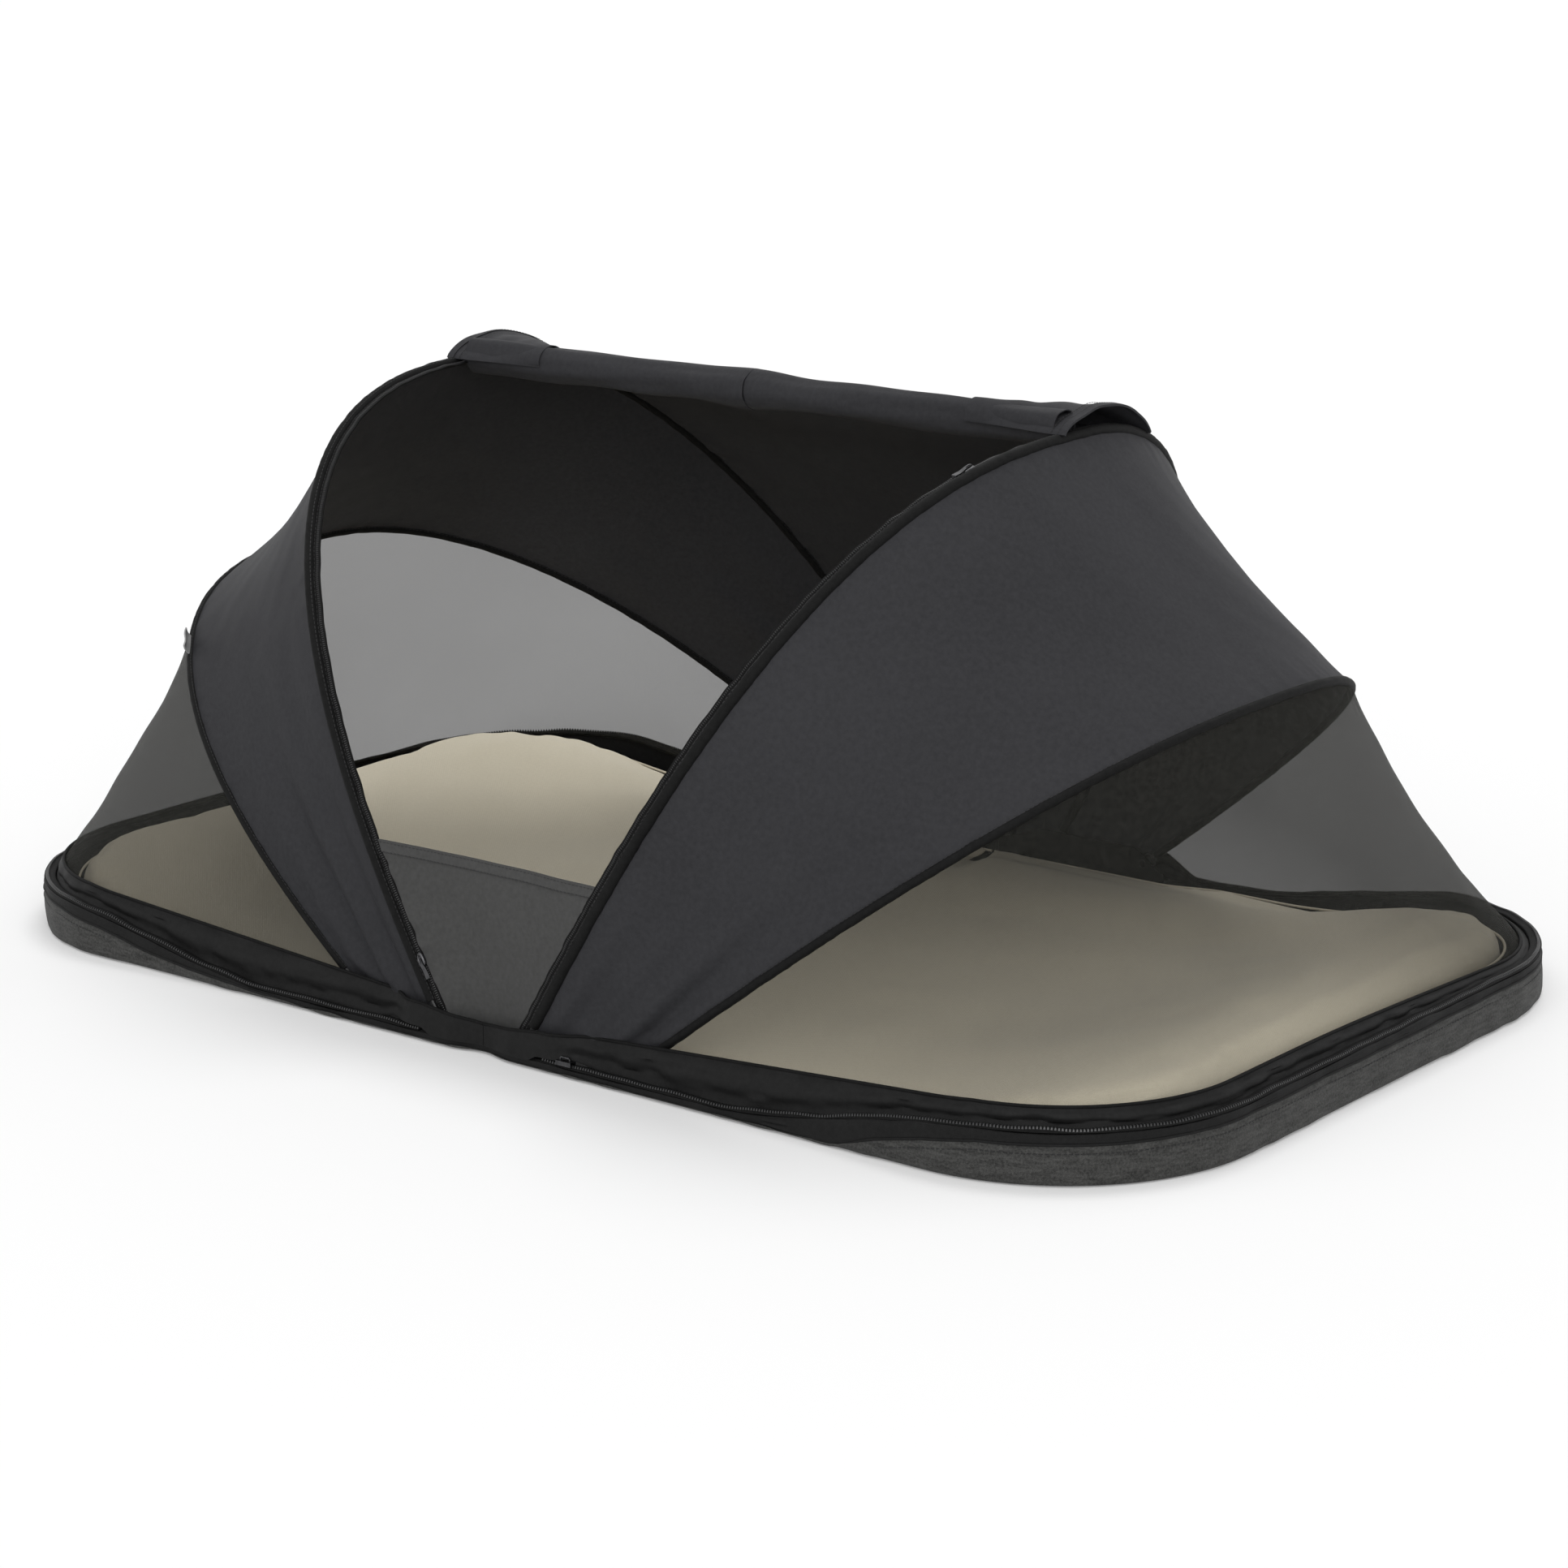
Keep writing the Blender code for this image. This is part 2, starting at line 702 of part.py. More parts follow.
def bail_outline(middle):
    """A low bridge on the slider's back, as (x, lift) points that follow its slope."""
    reach = BAIL_SHARE * SLIDER_LENGTH / 2
    shoulder = reach - BAIL_HEIGHT / 2
    leg = reach - BAIL_THICKNESS
    under = BAIL_HEIGHT - BAIL_THICKNESS
    right = [(leg, -BAIL_SINK), (reach, -BAIL_SINK), (reach, BAIL_HEIGHT / 2),
             (shoulder, BAIL_HEIGHT)]
    left = [(-x, lift) for x, lift in reversed(right)]
    outline = right + left + [(-leg, under), (leg, under)]
    return [(middle + x, rim_height(middle + x) + lift) for x, lift in outline]


def add_case_slider(name, end, mats, pivot):
    """The slider of the rim's zip on a long side, parked near the waist."""
    sections = []
    for x in (CASE_SLIDER_START, CASE_SLIDER_START + SLIDER_LENGTH):
        ring = []
        for inset, lift in case_slider_profile():
            ring.append(Vector((x, end * (HALF_WIDTH - inset), rim_height(x) + lift)))
        sections.append(ring)
    verts, faces = loft(sections)
    body = add_object(name, verts, faces, mats["slider"])
    top = max(lift for _, lift in case_slider_profile())
    outline = [(x, z + top) for x, z in bail_outline(CASE_SLIDER_START + SLIDER_LENGTH / 2)]
    y = end * (HALF_WIDTH - TEETH_INSET - TEETH_WIDTH / 2)
    verts, faces = prism_y(outline, y - BAIL_WIDTH / 2, y + BAIL_WIDTH / 2)
    bail = add_object("bail", verts, faces, mats["slider"])
    combine(body, [bail], "UNION")
    hang(body, pivot)


# Fold hinge at the waist

def tab(px, pz, radius, low, foot):
    """Lug outline: a round top on a wider foot."""
    return [(px - foot, low), (px + foot, low)] + arc(px, pz, radius, -10, 190, 8)


def knuckle_profile(low):
    reach = PLATE_START + KNUCKLE_ARM
    return [(PLATE_START, low), (reach, low)] + arc(0.0, FOLD_AXIS_HEIGHT, KNUCKLE_RADIUS, 40, 225, 9)


def lug_span(hoop, end):
    """Inner and outer face of a hoop's lug, measured from the tent's middle."""
    outer = leg_width(hoop, end) - EYE_WIDTH / 2 - SIDE_PLAY
    return outer - LUG_THICKNESS, outer


def hinge_middle():
    return END["half_width"]


def knuckle_spans(side):
    """The right bracket has the middle knuckle and the left one the two outer ones."""
    middle = hinge_middle()
    half = KNUCKLE_WIDTH / 2
    if side > 0:
        return [(middle - half, middle + half)]
    near = half + SIDE_PLAY
    far = near + KNUCKLE_WIDTH
    return [(middle - far, middle - near), (middle + near, middle + far)]


def add_bracket(name, side, end, mats, pivot):
    low = FLOOR_THICKNESS + GAP
    top = low + PLATE_THICKNESS
    y0 = lug_span(END, end)[0]
    y1 = lug_span(DOOR, end)[1]
    x1 = END["pivot"][0] + PLATE_MARGIN
    root = low + PLATE_THICKNESS / 3
    plate = [(PLATE_START, low), (x1 - PLATE_CHAMFER, low), (x1, low + PLATE_EDGE), (x1, top),
             (PLATE_START, top)]
    parts = []

    def part(label, profile, a, b):
        verts, faces = prism_y(profile, end * a, end * b)
        return add_object(label, mirrored(verts, side), faces, mats["plastic"])

    body = part(name, plate, y0, y1)
    for hoop in (DOOR, END):
        px, pz = hoop["pivot"]
        a, b = lug_span(hoop, end)
        parts.append(part("lug", tab(px, pz, EYE_RADIUS, root, LUG_FOOT), a, b))
    for a, b in knuckle_spans(side):
        parts.append(part("knuckle", knuckle_profile(root), a, b))
    combine(body, parts, "UNION")
    bores = []
    radius = RIVET_RADIUS + RIVET_CLEARANCE
    for hoop in (DOOR, END):
        px, pz = hoop["pivot"]
        a, b = lug_span(hoop, end)
        verts, faces = disc_y(px, pz, radius, end * (a - CUT_OVERRUN), end * (b + CUT_OVERRUN))
        bores.append(add_object("bore", mirrored(verts, side), faces, mats["plastic"]))
    y0 -= CUT_OVERRUN
    y1 += CUT_OVERRUN
    verts, faces = disc_y(0.0, FOLD_AXIS_HEIGHT, radius, end * y0, end * y1)
    bores.append(add_object("bore", mirrored(verts, side), faces, mats["plastic"]))
    combine(body, bores, "DIFFERENCE")
    hang(body, pivot)


def turned_y(cx, cz, outline, sides=10):
    """A round piece about a Y line, from (y, radius) steps."""
    sections = []
    for y, radius in outline:
        ring = []
        for k in range(sides):
            angle = 2 * pi * k / sides
            ring.append(Vector((cx + radius * cos(angle), y, cz + radius * sin(angle))))
        sections.append(ring)
    return loft(sections)


def rivet_outline(inner, outer):
    """Head, shaft and head, from the inner face to the outer face of what it holds."""
    a = inner - GAP
    b = outer + GAP
    head = RIVET_HEAD_RADIUS
    return [(a - RIVET_HEAD_THICKNESS, head * RIVET_CROWN), (a - RIVET_HEAD_THICKNESS / 2, head),
            (a, head), (a, RIVET_RADIUS), (b, RIVET_RADIUS), (b, head),
            (b + RIVET_HEAD_THICKNESS / 2, head), (b + RIVET_HEAD_THICKNESS, head * RIVET_CROWN)]


def add_rivet(name, px, pz, inner, outer, side, end, mats, pivot):
    outline = [(end * y, r) for y, r in rivet_outline(inner, outer)]
    verts, faces = turned_y(px, pz, outline)
    add_object(name, mirrored(verts, side), faces, mats["steel"], pivot, 30)


# Fabric

def lerp(a, b, share):
    return a + (b - a) * share


def add_canopy(name, side, mats, pivot):
    """Opaque panel from the end hoop to the door hoop, front over the top to the back."""
    cols = PANEL_COLUMNS
    ends = fabric_curve(END)
    doors = fabric_curve(DOOR)
    grid = []
    for k in range(len(ends)):
        across = doors[k] - ends[k]
        from_end = away_from_hoop(ends, k, END, across)
        from_door = away_from_hoop(doors, k, DOOR, -across)
        a = ends[k] + from_end * (END_SLEEVE_RADIUS + SEAM_GAP)
        b = doors[k] + from_door * (DOOR_SLEEVE_RADIUS + SEAM_GAP)
        share = k / (len(ends) - 1)
        middle = Vector((0.0, 0.0, CANOPY_CENTRE))
        line = []
        for j in range(cols):
            v = j / (cols - 1)
            point = lerp(a, b, v)
            hollow = 4 * v * (1 - v) * CANOPY_HOLLOW * sin(pi * share)
            inward = (middle - point).normalized()
            # Two soft pull folds run up from the feet and die out half way.
            low = max(0.0, 1 - 4 * min(share, 1 - share))
            fold = FOLD_DEPTH * low * sin(2 * pi * 2 * v)
            line.append(point + inward * (hollow + fold))
        grid.append(line)
    verts, faces = cloth(grid, FABRIC_THICKNESS)
    add_object(name, mirrored(verts, side), faces, mats["canopy"], pivot, 60)


def outline_by_length(path, steps):
    lengths = [0.0]
    for a, b in zip(path, path[1:]):
        lengths.append(lengths[-1] + (b - a).length)
    points = []
    spot = 0
    for k in range(steps + 1):
        target = lengths[-1] * k / steps
        while spot < len(lengths) - 2 and lengths[spot + 1] < target:
            spot += 1
        share = (target - lengths[spot]) / (lengths[spot + 1] - lengths[spot])
        points.append(lerp(path[spot], path[spot + 1], share))
    return points


def add_end_mesh(name, side, mats, pivot):
    """Insect mesh from the band on the rim up to the end hoop."""
    cols = PANEL_COLUMNS
    tops = fabric_curve(END)
    lean = TAPE_INSET + TAPE_WIDTH + SEAM_GAP + BAND_LEAN + BAND_THICKNESS / 2
    x_start = tops[0].x + MESH_LEAD
    lift = SEAM_GAP + MESH_THICKNESS / 2
    path = []
    for (x, y), (edge_x, _) in zip(half_outline(lean, x_start), half_outline(0.0, x_start)):
        path.append(Vector((x, y, band_top(edge_x) + lift)))
    feet = outline_by_length(path, len(tops) - 1)
    grid = []
    for k in range(len(tops)):
        across = feet[k] - tops[k]
        start = tops[k] + away_from_hoop(tops, k, END, across) * (END_SLEEVE_RADIUS + SEAM_GAP)
        share = k / (len(tops) - 1)
        line = []
        for j in range(cols):
            v = j / (cols - 1)
            point = lerp(start, feet[k], v)
            outward = (point - Vector((0.0, 0.0, MESH_CENTRE))).normalized()
            line.append(point + outward * 4 * v * (1 - v) * MESH_SWELL * sin(pi * share))
        grid.append(line)
    verts, faces = cloth(grid, MESH_THICKNESS)
    add_object(name, mirrored(verts, side), faces, mats["mesh"], pivot, 60)


def span_panel(points, starts, sag, cols, waves):
    """Half panel from a hoop to the middle of the tent, sagging towards the inside."""
    grid = []
    middle_x = WAIST_GAP / 2
    for k, (point, start) in enumerate(zip(points, starts)):
        across = Vector((middle_x, start.y, start.z)) - start
        inward = Vector((0.0, -point.y, ROOF_CENTRE - point.z)).normalized()
        share = k / (len(points) - 1)
        line = []
        for j in range(cols):
            v = j / (cols - 1)
            drop = sag * (1 - (1 - v) ** 2)
            ripple = FOLD_DEPTH * sin(2 * pi * waves * share) * v
            line.append(start + across * v + inward * (drop + ripple))
        grid.append(line)
    return grid


def add_roof(name, side, mats, pivot):
    """Opaque panel between the door hoops, from the ridge down the back."""
    back = fabric_leg(DOOR, 1)
    back[-1] = lerp(back[-1], back[-2], RIDGE_SETBACK)
    towards = Vector((-1, 0, 0))
    starts = []
    for k, point in enumerate(back):
        square = away_from_hoop(back, k, DOOR, towards)
        starts.append(point + square * (DOOR_SLEEVE_RADIUS + SEAM_GAP))
    grid = span_panel(back, starts, ROOF_SAG, 6, 1.5)
    verts, faces = cloth(grid, FABRIC_THICKNESS)
    add_object(name, mirrored(verts, side), faces, mats["canopy"], pivot, 60)


def zip_lines():
    """Both edges of the door zip, from low on the front leg to just below the roll."""
    front = fabric_leg(DOOR, -1)[:-1]
    towards = Vector((-1, 0, 0))
    near, far = [], []
    for k, point in enumerate(front):
        square = away_from_hoop(front, k, DOOR, towards)
        near.append(point + square * (DOOR_SLEEVE_RADIUS + SEAM_GAP))
        far.append(point + square * (DOOR_SLEEVE_RADIUS + SEAM_GAP + DOOR_ZIP_WIDTH))
    return near, far


def add_door_zip(name, side, mats, pivot):
    near, far = zip_lines()
    grid = [[a, lerp(a, b, 0.5), b] for a, b in zip(near, far)]
    verts, faces = cloth(grid, DOOR_ZIP_THICKNESS)
    add_object(name, mirrored(verts, side), faces, mats["tape"], pivot, 60)


def add_door_slider(name, side, step, mats, pivot):
    """A small block over the door zip, parked where the door was left."""
    near, far = zip_lines()
    centre = lerp(near[step], far[step], 0.5)
    after = lerp(near[step + 1], far[step + 1], 0.5)
    along = (after - centre).normalized()
    across = (far[step] - near[step]).normalized()
    across = (across - along * across.dot(along)).normalized()
    out = across.cross(along)
    if out.y * centre.y < 0 and abs(centre.y) > 0.1 or out.z < 0 and abs(centre.y) <= 0.1:
        out = -out
    low = DOOR_ZIP_THICKNESS / 2 + DOOR_SLIDER_GAP
    rings = []
    for share, wide, high in DOOR_SLIDER_SHAPE:
        middle = centre + along * share * SLIDER_LENGTH / 2
        half = DOOR_SLIDER_WIDTH / 2 * wide
        top = low + (DOOR_SLIDER_HEIGHT - low) * high
        rings.append([middle - across * half + out * low, middle + across * half + out * low,
                      middle + across * half * DOOR_SLIDER_TAPER + out * top,
                      middle - across * half * DOOR_SLIDER_TAPER + out * top])
    verts, faces = loft(rings)
    add_object(name, mirrored(verts, side), faces, mats["slider"], pivot)


def add_sill(name, side, mats, pivot):
    """Lower front panel between the door zips, hemmed along its top."""
    front = fabric_leg(DOOR, -1)
    points = [p for p in front if p.z < SILL_HEM_HEIGHT - SEAM_GAP]
    below, above = points[-1], front[len(points)]
    share = (SILL_HEM_HEIGHT - below.z) / (above.z - below.z)
    points.append(lerp(below, above, share))
    edge = DOOR_SLEEVE_RADIUS + 2 * SEAM_GAP + DOOR_ZIP_WIDTH
    starts = []
    for k, point in enumerate(points):
        square = away_from_hoop(points, k, DOOR, Vector((-1, 0, 0)))
        starts.append(point + square * edge)
    grid = span_panel(points, starts, SILL_SAG, 5, 1.0)
    verts, faces = cloth(grid, FABRIC_THICKNESS)
    add_object(name, mirrored(verts, side), faces, mats["sill"], pivot, 60)


def roll_place(x):
    """Middle of the rolled door above the ridge, and its widening towards the open end."""
    top = hoop_half(DOOR, -1)[-1]
    share = x / top.x
    flare = 1 + ROLL_FLARE * max(0.0, share) ** 2
    y = -ROLL_FORWARD - ROLL_SKEW * share
    return y, top.z + ROLL_RISE, flare


def add_roll(name, side, mats, pivot):
    """Half of the rolled-up door: a spiral of cloth that ends against the hoop's sleeve."""
    top = hoop_half(DOOR, -1)[-1]
    last_x = top.x - DOOR_SLEEVE_RADIUS - SEAM_GAP
    sections = []
    for s in range(ROLL_STATIONS):
        x = side * lerp(WAIST_GAP / 2, last_x, s / (ROLL_STATIONS - 1))
        y, z, flare = roll_place(x)
        outer, inner = [], []
        for k in range(ROLL_STEPS + 1):
            share = k / ROLL_STEPS
            angle = 2 * pi * ROLL_TURNS * share - pi / 2
            radius = lerp(ROLL_CORE_RADIUS, ROLL_RADIUS, share)
            wide = ROLL_FLATTEN * flare
            for line, half in ((outer, 0.5), (inner, -0.5)):
                r = radius + half * ROLL_CLOTH
                line.append(Vector((x, y + r * wide * cos(angle), z + r * sin(angle))))
        sections.append(outer + list(reversed(inner)))
    verts, faces = loft(sections)
    add_object(name, verts, faces, mats["canopy"], pivot, 60)


def roll_self_gap():
    """Least gap between neighbouring turns of the rolled door."""
    pitch = (ROLL_RADIUS - ROLL_CORE_RADIUS) / ROLL_TURNS
    return pitch - ROLL_CLOTH


def add_gusset(name, mats):
    """Strip of cloth that bridges the two floors at the fold."""
    low = FLOOR_THICKNESS + GAP
    half_y = HALF_WIDTH - BOARD_INSET - GUSSET_END_INSET
    x0 = GUSSET_HALF_WIDTH
    top = low + GUSSET_THICKNESS
    profile = [(-x0, low), (x0, low), (x0, top), (-x0, top)]
    verts, faces = prism_y(profile, -half_y, half_y)
    add_object(name, verts, faces, mats["band"])


def add_tag(name, mats, pivot):
    """Blank ribbon tag sewn in beside the left end hoop's sleeve."""
    front = hoop_half(END, -1)
    point, tangent, _ = frames(front, hoop_normal(END))[TAG_STATION]
    out = Vector((0, point.y, TAG_LIFT)).normalized()
    out = (out - tangent * out.dot(tangent)).normalized()
    near = END_SLEEVE_RADIUS + SEAM_GAP
    across = tangent.cross(out)
    rings = []
    for share in (-0.5, 0.5):
        middle = point + tangent * share * TAG_LENGTH
        rings.append([middle + out * near - across * TAG_THICKNESS / 2,
                      middle + out * (near + TAG_WIDTH) - across * TAG_THICKNESS / 2,
                      middle + out * (near + TAG_WIDTH) + across * TAG_THICKNESS / 2,
                      middle + out * near + across * TAG_THICKNESS / 2])
    verts, faces = loft(rings)
    add_object(name, mirrored(verts, -1), faces, mats["tag"], pivot)


# Assembly

def clear_scene():
    for obj in list(bpy.data.objects):
        bpy.data.objects.remove(obj)


def add_half(half, side, mats, base):
    add_tray(half + "_base_shell", side, mats, base)
    add_board(half + "_floor_board", side, mats, base)
    add_mattress(half + "_mattress_half", side, mats, base)
    add_rim_trim(half, side, mats, base)
    pivots = {}
    for label, hoop in (("door", DOOR), ("end", END)):
        px, pz = hoop["pivot"]
        pivots[label] = add_pivot(half + "_" + label + "_hoop_axis", (side * px, 0.0, pz), base)
        add_hoop(half + "_" + label + "_hoop", hoop, side, mats, pivots[label])
        for word, end in ENDS:
            inner = lug_span(hoop, end)[0]
            outer = leg_width(hoop, end) + EYE_WIDTH / 2
            name = half + "_" + label + "_hoop_" + word + "_rivet"
            add_rivet(name, px, pz, inner, outer, side, end, mats, base)
    for word, end in ENDS:
        add_bracket(half + "_" + word + "_hinge_bracket", side, end, mats, base)
    add_canopy(half + "_canopy_panel", side, mats, pivots["end"])
    add_end_mesh(half + "_end_mesh", side, mats, base)
    add_roof(half + "_roof_panel", side, mats, pivots["door"])
    add_door_zip(half + "_door_zip", side, mats, pivots["door"])
    add_sill(half + "_door_sill", side, mats, pivots["door"])
    add_roll(half + "_door_roll", side, mats, pivots["door"])
    return pivots


def main():
    clear_scene()
    mats = palette()
    root = add_pivot("tent_floor", (0, 0, 0))
    fold = add_pivot("fold_axis", (0, 0, FOLD_AXIS_HEIGHT), root)
    left = add_half("left", -1, mats, root)
    right = add_half("right", 1, mats, fold)
    add_door_slider("left_door_zip_slider", -1, 1, mats, left["door"])
    add_door_slider("right_door_zip_slider", 1, 13, mats, right["door"])
    for word, end in ENDS:
        spans = knuckle_spans(-1)
        add_rivet(word + "_fold_pin", 0.0, FOLD_AXIS_HEIGHT, spans[0][0], spans[1][1], 1, end,
                  mats, root)
        add_case_slider(word + "_case_zip_slider", end, mats, fold)
    add_gusset("waist_gusset", mats)
    add_tag("side_tag", mats, left["end"])
    print("least gap between turns of the rolled door, mm:", round(roll_self_gap() * 1000, 2))


main()
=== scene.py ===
"""Folding baby travel tent: cloth, insect mesh, zips, cushion and finishes on the CAD frame.

Metres, +Z up, X along the tent, -Y on the door side. Pieces are drawn for the right half
(+X) and mirrored for the left one, with folds of their own on each side.
"""
import bpy
import numpy as np
from math import radians, sin, cos, pi
from mathutils import Matrix, Vector


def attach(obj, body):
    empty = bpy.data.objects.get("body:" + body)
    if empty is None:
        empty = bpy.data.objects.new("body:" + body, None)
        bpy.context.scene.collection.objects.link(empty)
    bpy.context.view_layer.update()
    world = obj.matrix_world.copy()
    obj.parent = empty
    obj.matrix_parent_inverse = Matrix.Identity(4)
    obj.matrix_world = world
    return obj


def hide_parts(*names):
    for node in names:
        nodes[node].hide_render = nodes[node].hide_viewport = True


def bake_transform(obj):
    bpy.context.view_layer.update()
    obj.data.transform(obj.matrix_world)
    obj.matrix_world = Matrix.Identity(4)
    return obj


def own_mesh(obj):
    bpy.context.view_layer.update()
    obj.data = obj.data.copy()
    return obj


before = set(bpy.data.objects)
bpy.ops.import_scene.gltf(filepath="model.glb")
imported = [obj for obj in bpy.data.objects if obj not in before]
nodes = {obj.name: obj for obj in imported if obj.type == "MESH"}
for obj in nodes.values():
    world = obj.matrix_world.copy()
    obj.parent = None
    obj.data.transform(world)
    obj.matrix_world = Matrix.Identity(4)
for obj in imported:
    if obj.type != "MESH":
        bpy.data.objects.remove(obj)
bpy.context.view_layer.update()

# Sizes of the frame, as in the CAD model
HALF_LENGTH = 0.56
HALF_WIDTH = 0.345
CORNER_RADIUS = 0.16
WALL_LOW, WALL_HIGH = 0.007, 0.038
RISE_START, RISE_END = 0.215, 0.45
FLOOR_THICKNESS = 0.004
SEAM_HALF, SEAM_LAP = 0.00006, 0.0003
TAPE_INSET, TAPE_END = 0.001, 0.010
TEETH_INSET, TEETH_WIDTH = 0.002, 0.003
ZIP_START = 0.06
BAND_START, BAND_CLIMB_END = 0.10, 0.43
BAND_LOW, BAND_HIGH = 0.029, 0.051
BAND_INSET, BAND_LEAN = 0.0105, 0.006
WAIST_BAND_INSET, WAIST_BAND_LEAN = 0.0008, 0.0008
WAIST_BAND_TOP, WAIST_BAND_SLOPE = 0.0222, 0.118
BAND_BACK_THIN = 0.84
NOTCH_DEPTH, NOTCH_RUN = 0.006, 0.032
LINING_Y, LINING_LOW, LINING_TOP, LINING_LENGTH = 0.3095, 0.0060, 0.036, 0.168
COVER_FOOT = 0.0022
MATTRESS_LOW, MATTRESS_INSET, BACK_SHOULDER = 0.0076, 0.028, 0.006
PAD_TOP, PAD_RISE, PAD_RISE_START = 0.0126, 0.042, 0.27
PAD_NARROW, PAD_NARROW_END = 0.013, 0.166
PAD_CROWN, PAD_CROWN_LOSS = 0.008, 0.005
DOOR = {"half_width": 0.338, "reach": 0.514, "lean": radians(59.4), "foot": 0.0318,
        "pivot": 0.020, "square": (2.74, 1.98), "sleeve": 0.0040, "start": 0.002,
        "joint": "door_hoop_fold", "body": "door_bow"}
END = {"half_width": 0.320, "reach": 0.450, "lean": radians(37.7), "foot": 0.1152,
       "pivot": 0.024, "square": (2.60, 2.03), "sleeve": 0.0034, "start": 0.002,
       "joint": "end_hoop_fold", "body": "end_bow"}
SILL_TOP, SILL_DROP = 0.139, 0.011
SLIDER_LONG, SLIDER_WIDE, SLIDER_TALL = 0.0052, 0.0031, 0.0021
GUSSET_REACH, GUSSET_HALF_WIDTH = 0.022, 0.301
TAG_WIDTH, TAG_DEPTH, TAG_CLOTH = 0.022, 0.0095, 0.0011
# Radii of the cords sewn into the seams
BASE_CORD, MATTRESS_CORD, MESH_CORD = 0.0011, 0.0011, 0.0013
ZIP_WIDTH, ZIP_TAPE = 0.0062, 0.0106
# How far the cloths reach under the hoops' sleeves
END_TUCK, DOOR_TUCK, MESH_TUCK, SILL_TUCK = 0.0010, 0.0012, 0.0008, 0.0004
SIDES = (("left", -1), ("right", 1))
SQUASH_KEEP = 0.05
BAND_PRESS, MESH_PRESS = (0.030, 0.4), (0.045, SQUASH_KEEP)
HOOP_STATIONS, BAND_STATIONS, ZIP_STATIONS = 150, 130, 90
SHARP_ANGLE = 55.0
UP = np.array([0, 0, 1.0])
CLOTH, TAPE_CLOTH, HEM_CLOTH = 0.0008, 0.0010, 0.0012
# Stitches: pitch, length, width and height
STITCH = (0.0034, 0.0025, 0.0006, 0.0004)
SLEEVE_STITCH = (0.0036, 0.0026, 0.0006, 0.0004)
BASE_STITCH = (0.0040, 0.0028, 0.0007, 0.0005)
# Zip teeth: the same four sizes
DOOR_TEETH = (0.0017, 0.0010, 0.0026, 0.0009)
CASE_TEETH = (0.0024, 0.0015, TEETH_WIDTH, 0.0016)


# Small maths helpers

def ease(t):
    t = np.clip(t, 0.0, 1.0)
    return t * t * (3 - 2 * t)


def unit(v):
    return v / np.maximum(np.linalg.norm(v, axis=-1, keepdims=True), 1e-12)


def lengths(path):
    return np.concatenate([[0.0], np.cumsum(np.linalg.norm(np.diff(path, axis=0), axis=1))])


def sample(path, s, at):
    """Points of a path at the lengths given, where s holds the lengths of its own points."""
    return np.stack([np.interp(at, s, column) for column in path.T], 1)


def resample(path, count):
    s = lengths(path)
    return sample(path, s, np.linspace(0, s[-1], count))


def ripple(p, size, seed):
    """Smooth random waves in space, about 1 high, with lengths round the given size."""
    rng, count = np.random.default_rng(seed), 12
    out = np.zeros(p.shape[:-1])
    for _ in range(count):
        d = unit(rng.normal(size=3))
        k = 2 * pi / (size * rng.uniform(0.6, 1.7))
        out += np.sin(p @ d * k + rng.uniform(0, 2 * pi))
    return out / np.sqrt(count / 2)


def wander(s, size, seed, count=10):
    """Smooth random waves along a line, about 1 high."""
    rng = np.random.default_rng(seed)
    out = np.zeros_like(s)
    for _ in range(count):
        out += np.sin(s * 2 * pi / (size * rng.uniform(0.5, 1.8)) + rng.uniform(0, 2 * pi))
    return out / np.sqrt(count / 2)


def rim_height(x):
    return WALL_LOW + (WALL_HIGH - WALL_LOW) * ease((np.abs(x) - RISE_START) / (RISE_END - RISE_START))


def band_top(x):
    """Top of the black band: it dips at the waist so that the two halves can fold together."""
    share = np.clip((np.abs(x) - BAND_START) / (BAND_CLIMB_END - BAND_START), 0, 1)
    full = BAND_LOW + (BAND_HIGH - BAND_LOW) * share
    return np.minimum(full, WAIST_BAND_TOP + WAIST_BAND_SLOPE * np.abs(x))


def band_high(plan):
    """Top of the band at plan points: full in front, drawn down to a bead round the back."""
    run, low, full = plan[:, 0], rim_height(plan[:, 0]), band_top(plan[:, 0])
    thin = BAND_BACK_THIN * ease((plan[:, 1] + 0.10) / 0.40) * ease((np.abs(run) - 0.145) / 0.05)
    return low + (full - low) * (1 - thin)


def outline(inset, x_start, straight=72, corner=56, end=44):
    """Plan points from the front waist round the end to the back waist."""
    radius = CORNER_RADIUS - inset
    cx, cy = HALF_LENGTH - CORNER_RADIUS, HALF_WIDTH - CORNER_RADIUS
    xs = np.linspace(x_start, cx, straight, endpoint=False)
    a = np.linspace(-pi / 2, 0, corner, endpoint=False)
    ys = np.linspace(-cy, 0, end, endpoint=False)
    front = np.concatenate([np.column_stack([xs, np.full(straight, inset - HALF_WIDTH)]),
                            np.column_stack([cx + radius * np.cos(a), radius * np.sin(a) - cy]),
                            np.column_stack([np.full(end, HALF_LENGTH - inset), ys])])
    return np.concatenate([front, [(HALF_LENGTH - inset, 0.0)], front[::-1] * (1, -1)])


def notched(plan):
    """Rounds a half's corner at the waist, so that the two halves meet in a small notch."""
    plan = plan.copy()
    plan[:, 1] -= np.sign(plan[:, 1]) * NOTCH_DEPTH * (1 - ease(plan[:, 0] / NOTCH_RUN))
    return plan


